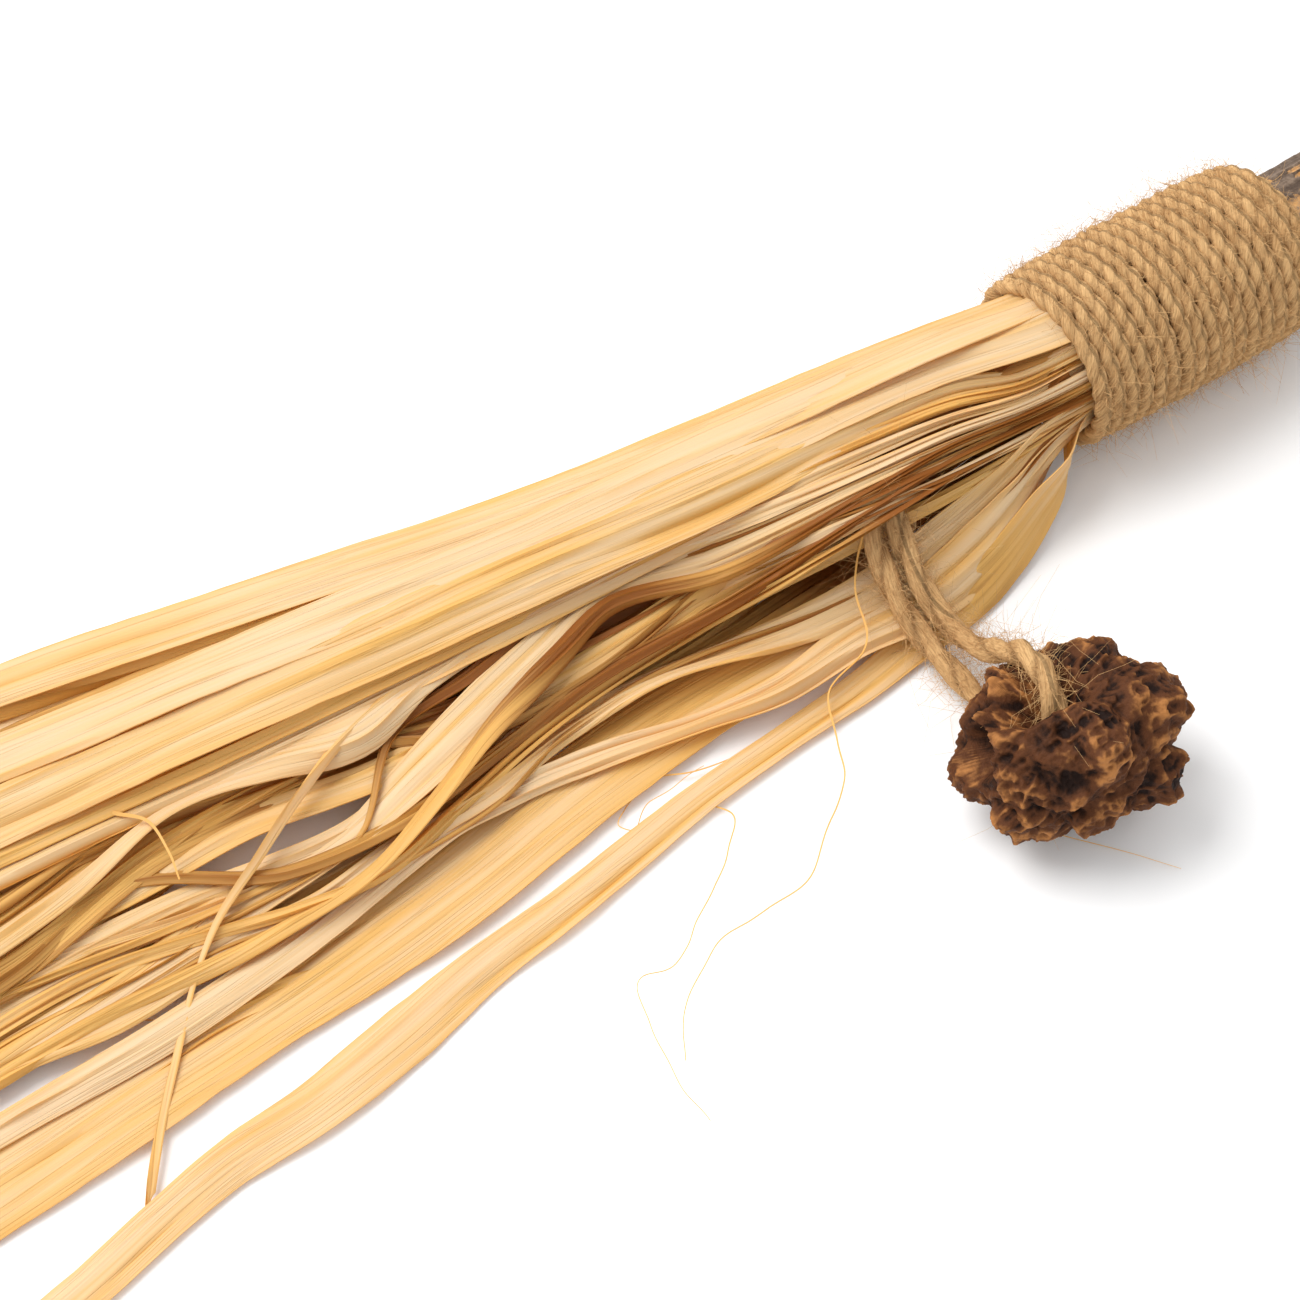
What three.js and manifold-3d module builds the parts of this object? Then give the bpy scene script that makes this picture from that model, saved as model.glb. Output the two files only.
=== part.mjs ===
// A chew toy for cats, lying on a table: a silver vine stick whose one end is bound with jute twine
// to a tassel of flat raffia strips. A dried silver vine fruit hangs on a doubled jute cord that
// comes out of the tassel. Millimetres, +Z up, X along the stick.
//
// Everything is laid out from the neck, the end of the binding where the tassel starts: x runs from
// the neck towards the stick's cut end, and "down the tassel" means -x. At the end of the file the
// whole toy is moved so that the origin is on the table under the middle of its outline.
import * as THREE from "three";
import { mergeVertices } from "three/addons/utils/BufferGeometryUtils.js";
import Module from "manifold-3d";

// Driving dimensions
const STICK_RADIUS = 6.2;
const BOUND_RADIUS = 5.4; // where the bark is pared off under the binding
const STICK_FROM = -2; // the buried end, just past the neck
const STICK_TO = 118; // the cut end
const TWINE_RADIUS = 0.8; // the binding's twine, as pulled tight
const BINDING_LENGTH = 31;
const BINDING_TURNS = 17;
const STRIP_THICKNESS = 0.3;
const RING_RADII = [5.9, 6.6, 7.3]; // three rings of strips around the stick, inner to outer
const STRIP_WIDTH = 5.6; // an average strip, flattened out
const TASSEL_LENGTH = 158;
const CORD_RADIUS = 1.05;
const CORD_CLEARANCE = 0.35; // around the cord, where it runs through the fruit
const FRUIT_CENTRE = new THREE.Vector3(-23.8, -35.4, 9.4);
const FRUIT_RADII = new THREE.Vector3(10.9, 9.9, 9.4);

const materials = {
  bark: new THREE.MeshStandardMaterial({ color: 0x4d3a2e, roughness: 0.85 }),
  jute: new THREE.MeshStandardMaterial({ color: 0xb08a55, roughness: 0.95 }),
  raffia: new THREE.MeshStandardMaterial({ color: 0xe6c182, roughness: 0.55 }),
  fruit: new THREE.MeshStandardMaterial({ color: 0x5e3218, roughness: 0.9 }),
};

// Mulberry32: a small seeded generator, so that the tassel is the same on every run.
function seededRandom(seed) {
  let state = seed;
  return () => {
    state = (state + 0x6d2b79f5) | 0;
    let mixed = Math.imul(state ^ (state >>> 15), 1 | state);
    mixed = (mixed + Math.imul(mixed ^ (mixed >>> 7), 61 | mixed)) ^ mixed;
    return ((mixed ^ (mixed >>> 14)) >>> 0) / 2 ** 32;
  };
}

const smooth = THREE.MathUtils.smoothstep;
const mix = THREE.MathUtils.lerp;

function named(name, geometry, material) {
  const mesh = new THREE.Mesh(geometry, material);
  mesh.name = name;
  return mesh;
}

// A closed solid through rings of points, all with the same count, ordered anticlockwise as seen
// from the last ring, with a flat cap at each end. The first and second half of each ring fold along
// opposite diagonals, so that a twisted ribbon keeps its thickness.
function loft(rings) {
  const count = rings[0].length;
  const points = rings.flat();
  const faces = [];
  for (let i = 0; i + 1 < rings.length; i++)
    for (let j = 0; j < count; j++) {
      const a = i * count + j;
      const b = i * count + ((j + 1) % count);
      if (j < count / 2) faces.push(a, b, b + count, a, b + count, a + count);
      else faces.push(a, b, a + count, b, b + count, a + count);
    }
  const last = (rings.length - 1) * count;
  for (let j = 1; j + 1 < count; j++) {
    faces.push(0, j + 1, j);
    faces.push(last, last + j, last + j + 1);
  }
  return new THREE.BufferGeometry().setFromPoints(points).setIndex(faces);
}

// The stick and the binding share one axis. It drops a little towards the cut end, because the toy
// lies on the binding's last full turns and on the lower edge of the cut end.
const REST_X = 0.8 * BINDING_LENGTH;
const WINDING_CLEARANCE = 0.32; // the turns' flat facets reach this far inside their true circle
const BELLY = 0.3; // how much fatter the binding is in the middle
const SHOULDER = { length: 6, drop: 0.2 };
function windingRadius(x) {
  const outside = RING_RADII[2] + STRIP_THICKNESS / 2 + WINDING_CLEARANCE + TWINE_RADIUS;
  const shoulder = smooth(x, BINDING_LENGTH - SHOULDER.length, BINDING_LENGTH);
  return outside + BELLY * Math.sin((Math.PI * x) / BINDING_LENGTH) - SHOULDER.drop * shoulder;
}
function axisHeight(x) {
  const restHeight = windingRadius(REST_X) + TWINE_RADIUS;
  return mix(restHeight, STICK_RADIUS, (x - REST_X) / (STICK_TO - REST_X));
}

// The stick: a slightly crooked branch with two swollen knots, sawn off square at both ends.
const KNOTS = [
  { x: 54, rise: 0.7 },
  { x: 94, rise: 0.5 },
];
const KNOT_LENGTH = 5;
const STICK_SWAY = { sideways: 1.1, up: 0.45 };
const FLUTING = { depth: 0.02, lobes: 3, twist: 1 / 17 };
function buildStick() {
  const sides = 16;
  const stations = [STICK_FROM, 10, 22, 31, 40, 48, 54, 60, 70, 80, 88, 94, 100, 109, STICK_TO];
  const rings = stations.map((x) => {
    const swell = KNOTS.reduce(
      (sum, knot) => sum + knot.rise * Math.exp(-(((x - knot.x) / KNOT_LENGTH) ** 2)), 0);
    const free = smooth(x, BINDING_LENGTH, STICK_TO);
    const bend = Math.sin(Math.PI * free);
    return Array.from({ length: sides }, (_, j) => {
      const turn = (2 * Math.PI * (j + 0.5)) / sides;
      const flute = FLUTING.depth * free * Math.sin(FLUTING.lobes * turn + FLUTING.twist * x);
      const barked = (STICK_RADIUS + swell) * (1 + flute);
      const radius = x <= BINDING_LENGTH ? BOUND_RADIUS : barked;
      return new THREE.Vector3(
        x,
        STICK_SWAY.sideways * bend + radius * Math.cos(turn),
        axisHeight(x) + STICK_SWAY.up * bend + radius * Math.sin(turn),
      );
    });
  });
  // The cut end rests on the table, so its ring is set down on it.
  const end = rings.at(-1);
  const drop = Math.min(...end.map((p) => p.z));
  end.forEach((p) => p.setZ(p.z - drop));
  return named("stick", loft(rings), materials.bark);
}

// The binding: one length of twine wound in touching turns over the strips and the stick.
function buildBinding() {
  const perTurn = 12;
  const sides = 6;
  const count = BINDING_TURNS * perTurn;
  const rings = Array.from({ length: count + 1 }, (_, i) => {
    const share = i / count;
    const x = mix(TWINE_RADIUS, BINDING_LENGTH - TWINE_RADIUS, share);
    const turn = 2 * Math.PI * BINDING_TURNS * share - Math.PI / 2;
    const radius = windingRadius(x);
    return Array.from({ length: sides }, (_, j) => {
      const around = (2 * Math.PI * j) / sides;
      const out = radius + TWINE_RADIUS * Math.cos(around);
      return new THREE.Vector3(
        x - TWINE_RADIUS * Math.sin(around),
        out * Math.cos(turn),
        axisHeight(x) + out * Math.sin(turn),
      );
    });
  });
  return named("twine_binding", loft(rings), materials.jute);
}

// The tassel. Six layers of strips lie on each other: the lower halves of the three rings, from the
// outer one on the table to the inner one, then the upper halves, from the inner to the outer.
//
// Each half goes from half rings at the neck to flat sheets on the table. It spreads sideways between
// the two distances `spread` down the tassel, and falls between the two distances `fall`, which grow
// by `later` with each level. The lower half spreads to both sides of the axis, and the upper one
// slips off it towards +y. A sheet's `middle` and `halfWidth` are [at the neck, per millimetre down].
const LOW = {
  side: -1,
  spread: [0, 26],
  fall: [0, 24],
  later: [1, 3],
  middle: [0, 0.025],
  halfWidth: [10, 0.08],
};
const HIGH = {
  side: 1,
  spread: [2, 44],
  fall: [0, 40],
  later: [4, 10],
  middle: [2, 0.15],
  halfWidth: [6, 0.045],
};
const RING_SHARES = [0.92, 0.96, 1]; // how wide the sheets of the three rings are, against each other
const LAYERS = [
  { name: "table", half: LOW, ring: 2, strips: 7 },
  { name: "low_middle", half: LOW, ring: 1, strips: 6 },
  { name: "low_inner", half: LOW, ring: 0, strips: 6 },
  { name: "high_inner", half: HIGH, ring: 0, strips: 5 },
  { name: "high_middle", half: HIGH, ring: 1, strips: 6 },
  { name: "top", half: HIGH, ring: 2, strips: 5 },
];

const alongLine = ([start, slope], down) => start + slope * down;

// How high each level of the sheets lies above the one under it, at a place y. They are heaped up
// along a line that slips towards +y with them, and they settle as the tassel goes on.
const HEAP = {
  middle: [0, 0.09],
  halfWidth: [12, 0.09],
  settles: [30, TASSEL_LENGTH],
  edgePitch: [1.1, 0.5], // where the heap starts to settle, and where it has settled
  crownPitch: [1, 0.6], // what the heap's crown adds to that
};
function stackPitch(down, y) {
  const settled = smooth(down, ...HEAP.settles);
  const fromCrown = (y - alongLine(HEAP.middle, down)) / alongLine(HEAP.halfWidth, down);
  const crown = Math.max(0, 1 - fromCrown ** 2);
  return mix(...HEAP.edgePitch, settled) + mix(...HEAP.crownPitch, settled) * crown;
}

// Where the middle of a layer's thickness is, at a distance `down` the tassel and a place `across` it
// from -1 to 1, as a point in y and z.
const HALF_RING = 0.47 * Math.PI; // each way from straight up or down, so that the halves stay apart
function layerPoint(level, down, across) {
  const { half, ring } = LAYERS[level];
  const radius = RING_RADII[ring];
  const neckY = radius * Math.sin(HALF_RING * across);
  const neckZ = axisHeight(-down) + half.side * radius * Math.cos(HALF_RING * across);
  const sheetHalfWidth = alongLine(half.halfWidth, down) * RING_SHARES[ring];
  const sheetY = alongLine(half.middle, down) + sheetHalfWidth * across;
  const sheetZ = STRIP_THICKNESS / 2 + level * stackPitch(down, sheetY);
  const [fallFrom, fallTo] = half.fall.map((at, i) => at + half.later[i] * level);
  const spread = smooth(down, ...half.spread);
  const fallen = smooth(down, fallFrom, fallTo);
  return new THREE.Vector2(mix(neckY, sheetY, spread), mix(neckZ, sheetZ, fallen));
}

// One strip: a thin four-sided ribbon in its own slot of a layer. It fills the slot where the strips
// are crowded, and has its own width and wanders a little where there is room.
const STATIONS = [1.5 - BINDING_LENGTH, -14, 0, 6, 13, 21, 30, 40, 51, 64, 79, 96, 115, 136];
const SHORTEST_END = 6;
const SLOT_USED = 0.89;
const OPENS_OUT = [-60, 30]; // a strip is gathered in the binding, and has its own width by 30
const WANDER_LENGTH = 26; // millimetres for each radian of a strip's slow swing in its slot
function stripGeometry(level, slot, strip) {
  const stations = STATIONS.filter((down) => down < strip.length - SHORTEST_END);
  const rings = [...stations, strip.length].map((down) => {
    const at = (across) => layerPoint(level, down, across);
    const probe = 0.01;
    const span = at(slot.middle + probe).distanceTo(at(slot.middle - probe)) / (2 * probe);
    const room = slot.half * SLOT_USED;
    const half = Math.min(room, ((strip.width / 2) * smooth(down, ...OPENS_OUT)) / span);
    const middle = slot.middle + (room - half) * Math.sin(strip.phase + down / WANDER_LENGTH);
    const left = at(middle - half);
    const right = at(middle + half);
    const up = new THREE.Vector2(left.y - right.y, right.x - left.x);
    up.setLength(STRIP_THICKNESS / 2);
    const corners = [
      left.clone().sub(up),
      left.clone().add(up),
      right.clone().add(up),
      right.clone().sub(up),
    ];
    return corners.map((p) => new THREE.Vector3(-down, p.x - strip.stray(down), p.y));
  });
  return loft(rings);
}

// The strips of the lower layers part about a third of the way across, and the first strip of the
// bottom layer lies well apart from all the others. A stray is how far a strip lies from its slot.
const PARTING = { across: -0.45, gap: 2.6, opens: [26, 70] };
const LONE_STRIP = { gap: [4.2, 0.085], opens: [0, 16] };
function strayOf(level, slot, index) {
  if (LAYERS[level].half === HIGH || slot.middle > PARTING.across) return () => 0;
  if (level === 0 && index === 0)
    return (down) => smooth(down, ...LONE_STRIP.opens) * alongLine(LONE_STRIP.gap, down);
  return (down) => PARTING.gap * smooth(down, ...PARTING.opens);
}

const UNEVEN = { share: [0.7, 1.3], length: [0.86, 1], width: [0.7, 1.35] };
function buildTassel() {
  const random = seededRandom(20);
  const between = (low, high) => mix(low, high, random());
  const tassel = new THREE.Group();
  LAYERS.forEach((layer, level) => {
    const shares = Array.from({ length: layer.strips }, () => between(...UNEVEN.share));
    const total = shares.reduce((sum, share) => sum + share, 0);
    let edge = -1;
    shares.forEach((share, i) => {
      const half = share / total;
      const slot = { middle: edge + half, half };
      edge += 2 * half;
      const strip = {
        length: TASSEL_LENGTH * between(...UNEVEN.length),
        width: STRIP_WIDTH * between(...UNEVEN.width),
        phase: between(0, 2 * Math.PI),
        stray: strayOf(level, slot, i),
      };
      const name = `raffia_${layer.name}_${i + 1}`;
      tassel.add(named(name, stripGeometry(level, slot, strip), materials.raffia));
    });
  });
  return tassel;
}

// The cord's route. It starts in the hollow behind the stick's end, leaves the tassel between its
// upper and lower layers, goes over the loose strip and up into the hollow top of the fruit, comes
// out of the fruit's near side and returns beside itself.
const CORD_ROUTE = [
  [-4.5, 1.7, 11.2],
  [-11, 1.6, 10.9],
  [-16.5, -0.2, 10.3],
  [-20, -3.6, 9.2],
  [-21.8, -7.6, 7.6],
  [-22.4, -11.8, 5.2],
  [-22.4, -16.2, 3.7],
  [-22.4, -20.4, 5],
  [-22.7, -24, 8.6],
  [-23.1, -27.3, 12.4],
  [-23.8, -30.8, 14.2],
  [-24.6, -33.8, 12.9],
  [-25.4, -34.9, 9.7],
  [-25.9, -33.2, 6.6],
  [-25.7, -29.4, 4.9],
  [-25.2, -25, 3.4],
  [-24.8, -20.6, 2.4],
  [-24.8, -16.2, 2.4],
  [-25, -12, 4.1],
  [-24.6, -8, 6.5],
  [-23.2, -4.6, 7.9],
  [-19.6, -2.5, 8.2],
  [-14, -1.9, 8.3],
  [-8, -1.4, 8.3],
  [-4.5, -1.2, 8.3],
].map((p) => new THREE.Vector3(...p));

const CORD_SIDES = 8;
const CORD_STEPS = 44;
function cordTube(radius) {
  const section = new THREE.Shape(
    Array.from({ length: CORD_SIDES }, (_, j) => {
      const around = (2 * Math.PI * j) / CORD_SIDES;
      return new THREE.Vector2(radius * Math.cos(around), radius * Math.sin(around));
    }),
  );
  const extrudePath = new THREE.CatmullRomCurve3(CORD_ROUTE);
  return new THREE.ExtrudeGeometry(section, { steps: CORD_STEPS, extrudePath });
}

function buildCord() {
  return named("fruit_cord", cordTube(CORD_RADIUS), materials.jute);
}

// The fruit: a dried, knobbly body with knobs round a sunken top. The cord runs through it.
const KNOBS = [
  { turn: 15, rise: 12, size: 0.2 },
  { turn: 62, rise: 40, size: 0.16 },
  { turn: 105, rise: 18, size: 0.19 },
  { turn: 158, rise: 32, size: 0.15 },
  { turn: 205, rise: 8, size: 0.19 },
  { turn: 250, rise: 30, size: 0.17 },
  { turn: 300, rise: 15, size: 0.2 },
  { turn: 335, rise: 48, size: 0.15 },
  { turn: 40, rise: -32, size: 0.16 },
  { turn: 130, rise: -38, size: 0.17 },
  { turn: 225, rise: -35, size: 0.16 },
  { turn: 315, rise: -30, size: 0.17 },
];
const KNOB_SPREAD = 0.34; // radians
const BETWEEN_KNOBS = 0.88; // the body's radius there, as a share of FRUIT_RADII
const HOLLOW = { towards: new THREE.Vector3(-0.05, 0.3, 0.95).normalize(), depth: 0.28, spread: 0.42 };
const PRESSED_FLAT = 0.4; // how far the knobs that it lies on are flattened

function directionTo({ turn, rise }) {
  const latitude = THREE.MathUtils.degToRad(90 - rise);
  return new THREE.Vector3().setFromSphericalCoords(1, latitude, THREE.MathUtils.degToRad(turn + 90))
    .applyAxisAngle(new THREE.Vector3(1, 0, 0), Math.PI / 2);
}

function fruitGeometry() {
  const geometry = new THREE.IcosahedronGeometry(1, 5);
  geometry.deleteAttribute("normal");
  geometry.deleteAttribute("uv");
  const body = mergeVertices(geometry);
  const position = body.getAttribute("position");
  const knobs = KNOBS.map((knob) => ({ towards: directionTo(knob), size: knob.size }));
  const bump = (angle, spread) => Math.exp(-((angle / spread) ** 2));
  for (let i = 0; i < position.count; i++) {
    const p = new THREE.Vector3().fromBufferAttribute(position, i).normalize();
    const raised = knobs.reduce((sum, k) => sum + k.size * bump(p.angleTo(k.towards), KNOB_SPREAD), 0);
    const sunk = HOLLOW.depth * bump(p.angleTo(HOLLOW.towards), HOLLOW.spread);
    p.multiplyScalar(BETWEEN_KNOBS + raised - sunk).multiply(FRUIT_RADII).add(FRUIT_CENTRE);
    position.setXYZ(i, p.x, p.y, p.z);
  }
  body.computeBoundingBox();
  const tableLevel = body.boundingBox.min.z + PRESSED_FLAT;
  for (let i = 0; i < position.count; i++)
    position.setZ(i, Math.max(position.getZ(i) - tableLevel, 0));
  return body;
}

const wasm = await Module();
wasm.setup();

function toSolid(geometry) {
  const bare = geometry.clone();
  bare.deleteAttribute("normal");
  bare.deleteAttribute("uv");
  const merged = mergeVertices(bare, 1e-3);
  const vertProperties = new Float32Array(merged.getAttribute("position").array);
  const triVerts = new Uint32Array(merged.index.array);
  return new wasm.Manifold(new wasm.Mesh({ numProp: 3, vertProperties, triVerts }));
}

function toGeometry(solid) {
  const { numProp, vertProperties, triVerts } = solid.getMesh();
  const buffer = new THREE.InterleavedBuffer(vertProperties, numProp);
  return new THREE.BufferGeometry()
    .setAttribute("position", new THREE.InterleavedBufferAttribute(buffer, 3, 0))
    .setIndex(new THREE.BufferAttribute(triVerts, 1))
    .toNonIndexed();
}

function buildFruit() {
  const hole = toSolid(cordTube(CORD_RADIUS + CORD_CLEARANCE));
  const pierced = toSolid(fruitGeometry()).subtract(hole);
  return named("fruit", toGeometry(pierced), materials.fruit);
}

const toy = new THREE.Group();
toy.add(buildStick(), buildBinding(), buildTassel(), buildCord(), buildFruit());

// The origin goes on the table, under the middle of the outline of all but the cord.
const outline = new THREE.Box3();
toy.updateMatrixWorld(true);
toy.traverse((o) => {
  if (o.isMesh && o.name !== "fruit_cord") outline.expandByObject(o, true);
});
const middle = outline.getCenter(new THREE.Vector3());
toy.position.set(-middle.x, -middle.y, -outline.min.z);

export default toy;
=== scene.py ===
"""The looks of a chew toy for cats: a silver vine stick, bound with jute twine to a raffia tassel.

Sizes are in millimetres in the toy's own layout, whose origin is on the table under the neck, where
the binding ends and the tassel starts: x runs to the stick's cut end, z up, and the fruit lies on the
-y side. Layout.place turns them into metres in the frame.
"""

import itertools
import logging
import math
from dataclasses import dataclass
from enum import Enum
from functools import cached_property
from typing import Any, Iterator, Mapping, Sequence, Union

import bpy
import numpy as np
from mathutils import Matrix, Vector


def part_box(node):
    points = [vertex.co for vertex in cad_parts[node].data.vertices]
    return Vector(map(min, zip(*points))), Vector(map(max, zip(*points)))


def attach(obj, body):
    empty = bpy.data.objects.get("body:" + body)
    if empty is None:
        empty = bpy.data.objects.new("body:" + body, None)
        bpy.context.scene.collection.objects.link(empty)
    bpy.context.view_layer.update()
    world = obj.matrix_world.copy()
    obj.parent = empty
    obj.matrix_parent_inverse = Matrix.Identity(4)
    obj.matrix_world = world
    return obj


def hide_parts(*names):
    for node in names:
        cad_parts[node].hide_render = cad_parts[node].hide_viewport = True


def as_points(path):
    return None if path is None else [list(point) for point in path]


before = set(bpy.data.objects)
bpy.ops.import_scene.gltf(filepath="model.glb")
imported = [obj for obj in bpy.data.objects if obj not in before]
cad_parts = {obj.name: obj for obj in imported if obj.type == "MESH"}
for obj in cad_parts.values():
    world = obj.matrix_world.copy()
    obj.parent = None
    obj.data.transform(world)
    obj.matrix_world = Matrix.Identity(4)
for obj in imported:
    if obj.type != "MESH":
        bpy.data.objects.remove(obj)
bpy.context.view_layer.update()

Array = np.ndarray
Colour = tuple[float, float, float]

MM = 0.001
STICK_RADIUS = 6.2
STICK_END = 118.0
TWINE_RADIUS = 0.8
BINDING_LENGTH = 31.0
BINDING_TURNS = 17
RING_RADIUS = 7.0
OUTER_RING_RADIUS = 7.3
STRIP_HALF_THICKNESS = 0.15
BINDING_SLACK = 0.32

log = logging.getLogger("toy")


# --------------------------------------------------------------------------- numbers and surfaces


@dataclass(frozen=True)
class Layout:
    """Where the toy's layout lies in the frame."""

    origin: Array

    @classmethod
    def from_frame(cls) -> "Layout":
        """Finds the neck from the stick's cut end and the middle of the binding.

        Returns:
            The layout whose origin is on the table under the neck.
        """
        stick_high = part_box("stick")[1]
        binding_low, binding_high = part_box("twine_binding")
        return cls(np.array([stick_high[0] - STICK_END * MM, (binding_low[1] + binding_high[1]) / 2, 0.0]))

    def place(self, points: Array) -> Array:
        """Layout millimetres to metres in the frame."""
        return np.asarray(points, float) * MM + self.origin

    def read(self, points: Array) -> Array:
        """Metres in the frame to layout millimetres."""
        return (np.asarray(points, float) - self.origin) / MM


def smoothstep(value: Array, low: float, high: float) -> Array:
    """0 below low, 1 above high, and 3t^2 - 2t^3 of the share t of the way between them."""
    share = np.clip((np.asarray(value, float) - low) / (high - low), 0, 1)
    return share * share * (3 - 2 * share)


def mix(low: Any, high: Any, share: Any) -> Any:
    """The value a share of the way from low to high."""
    return low + (high - low) * share


def unit(vectors: Array) -> Array:
    """The vectors, each made one long."""
    return vectors / np.maximum(np.linalg.norm(vectors, axis=-1, keepdims=True), 1e-12)


class Noise:
    """Smooth noise from -1 to 1, from a block of random values that repeats every SIZE units."""

    SIZE = 32
    ROW_STEP = 1.37
    ROW_SLOPE, ROW_SHIFT = 0.61, 0.5
    OCTAVE_SHIFT = 7.3
    RIDGE_TOP, RIDGE_SLOPE, RIDGE_ROUNDING, RIDGE_FLOOR = 1.1, 2.4, 0.006, -0.15

    def __init__(self, seed: int) -> None:
        """Fills the block from a seed."""
        self.block = np.random.default_rng(seed).uniform(-1, 1, (self.SIZE,) * 3)

    def at(self, points: Array) -> Array:
        """The eight values round each point, weighed by the smoothstep of its place between them.

        Args:
            points: Any array of points, with x, y and z last.

        Returns:
            One value a point.
        """
        cell = np.floor(points).astype(int)
        place = points - cell
        place = place * place * (3 - 2 * place)
        total = np.zeros(points.shape[:-1])
        for corner in itertools.product((0, 1), repeat=3):
            weight = np.prod(np.where(corner, place, 1 - place), axis=-1)
            x, y, z = np.moveaxis((cell + corner) % self.SIZE, -1, 0)
            total += weight * self.block[x, y, z]
        return total

    def along(self, values: Array, row: float) -> Array:
        """Noise along a line; each row is a line of its own."""
        values = np.asarray(values, float)
        rows = np.full_like(values, row * self.ROW_STEP)
        return self.at(np.stack([values, rows, rows * self.ROW_SLOPE + self.ROW_SHIFT], axis=-1))

    def _octaves(self, points: Array, octaves: int) -> list[Array]:
        """The noise at several octaves, each twice as fine as the last."""
        return [self.at(points * 2**k + self.OCTAVE_SHIFT * k) for k in range(octaves)]

    def layered(self, points: Array, octaves: int, gain: float = 0.5) -> Array:
        """The sum of octaves, each gain times as strong as the last."""
        return sum(gain**k * layer for k, layer in enumerate(self._octaves(points, octaves)))

    def ridged(self, points: Array, octaves: int, gain: float = 0.5) -> Array:
        """As layered, with a rounded ridge wherever the noise passes zero, and flat ground between.

        Each octave is top - slope * sqrt(noise^2 + rounding), and nowhere below the floor.
        """
        total = 0.0
        for k, layer in enumerate(self._octaves(points, octaves)):
            ridge = self.RIDGE_TOP - self.RIDGE_SLOPE * np.sqrt(layer**2 + self.RIDGE_ROUNDING)
            total = total + gain**k * np.maximum(ridge, self.RIDGE_FLOOR)
        return total


def cell_distances(points: Array, seed: int, size: int = 16) -> tuple[Array, Array]:
    """The distances from each point to the nearest and second nearest of one random spot a unit cube.

    Args:
        points: Any array of points, with x, y and z last.
        seed: Picks the spots.
        size: The number of cubes each way before the spots repeat.

    Returns:
        The nearest and the second nearest distance, one each a point.
    """
    spots = np.random.default_rng(seed).uniform(0, 1, (size, size, size, 3))
    cell = np.floor(points).astype(int)
    found = []
    for offset in itertools.product((-1, 0, 1), repeat=3):
        near = cell + offset
        x, y, z = np.moveaxis(near % size, -1, 0)
        found.append(np.linalg.norm(near + spots[x, y, z] - points, axis=-1))
    first, second = np.partition(np.stack(found), 1, axis=0)[:2]
    return first, second


def even_path(knots: Array, count: int, finer: int = 8) -> Array:
    """A smooth curve through knots, in evenly spaced steps.

    Between two knots it is the cubic whose slopes at them are the curve's mean slopes there, against
    the distance along the chords. Columns after the third are carried along with the place.

    Args:
        knots: One row a knot, with x, y, z first.
        count: How many points to give.
        finer: How many times as many to measure the curve by.

    Returns:
        The points, one row each, with the knots' columns.
    """
    chords = np.linalg.norm(np.diff(knots[:, :3], axis=0), axis=1)
    at = np.concatenate([[0.0], np.cumsum(chords)])
    slopes = np.gradient(knots, at, axis=0)
    fine = np.linspace(0, at[-1], finer * count)
    span = np.clip(np.searchsorted(at, fine, side="right") - 1, 0, len(at) - 2)
    width = (at[span + 1] - at[span])[:, None]
    t = (fine[:, None] - at[span][:, None]) / width
    curve = (
        knots[span] * (2 * t**3 - 3 * t**2 + 1)
        + knots[span + 1] * (3 * t**2 - 2 * t**3)
        + slopes[span] * width * (t**3 - 2 * t**2 + t)
        + slopes[span + 1] * width * (t**3 - t**2)
    )
    steps = np.linalg.norm(np.diff(curve[:, :3], axis=0), axis=1)
    length = np.concatenate([[0.0], np.cumsum(steps)])
    wanted = np.linspace(0, length[-1], count)
    return np.stack([np.interp(wanted, length, column) for column in curve.T], axis=1)


def path_lengths(points: Array) -> Array:
    """How far along the path each of its points is."""
    steps = np.linalg.norm(np.diff(points, axis=0), axis=1)
    return np.concatenate([[0.0], np.cumsum(steps)])


def grid_quads(rows: int, columns: int) -> Array:
    """The faces between neighbours in a grid of points whose last column joins its first."""
    start = np.arange(rows - 1)[:, None] * columns
    column = np.arange(columns)[None, :]
    beside = (column + 1) % columns
    return np.stack(
        [start + column, start + beside, start + beside + columns, start + column + columns], axis=-1
    ).reshape(-1, 4)


@dataclass
class Surface:
    """A closed surface: its points in layout millimetres, its faces, and what its finish reads.

    grain holds two distances over the surface and a number that sets pieces apart, and tone is one
    value a point, such as a strip's colour or how far a ridge stands out.
    """

    points: Array
    quads: Array
    caps: list[list[int]]
    grain: Array
    tone: Array

    @classmethod
    def rings(cls, rings: Array, grain: Array, tone: Array, capped: bool = True) -> "Surface":
        """A surface through rings of points, each anticlockwise as seen from the last one.

        Args:
            rings: Points, by ring and by place round it.
            grain: What the finish reads, by ring and by place.
            tone: One value by ring and by place.
            capped: Whether a flat face closes each end.

        Returns:
            The surface.
        """
        count, around = rings.shape[:2]
        first = list(range(around - 1, -1, -1))
        last = list(range((count - 1) * around, count * around))
        caps = [first, last] if capped else []
        return cls(rings.reshape(-1, 3), grid_quads(count, around), caps, grain.reshape(-1, 3), tone.ravel())

    @classmethod
    def joined(cls, parts: Sequence["Surface"]) -> "Surface":
        """Several surfaces as one."""
        starts = np.concatenate([[0], np.cumsum([len(part.points) for part in parts])[:-1]])
        return cls(
            np.concatenate([part.points for part in parts]),
            np.concatenate([part.quads + start for part, start in zip(parts, starts)]),
            [[int(i + start) for i in cap] for part, start in zip(parts, starts) for cap in part.caps],
            np.concatenate([part.grain for part in parts]),
            np.concatenate([part.tone for part in parts]),
        )


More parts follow.
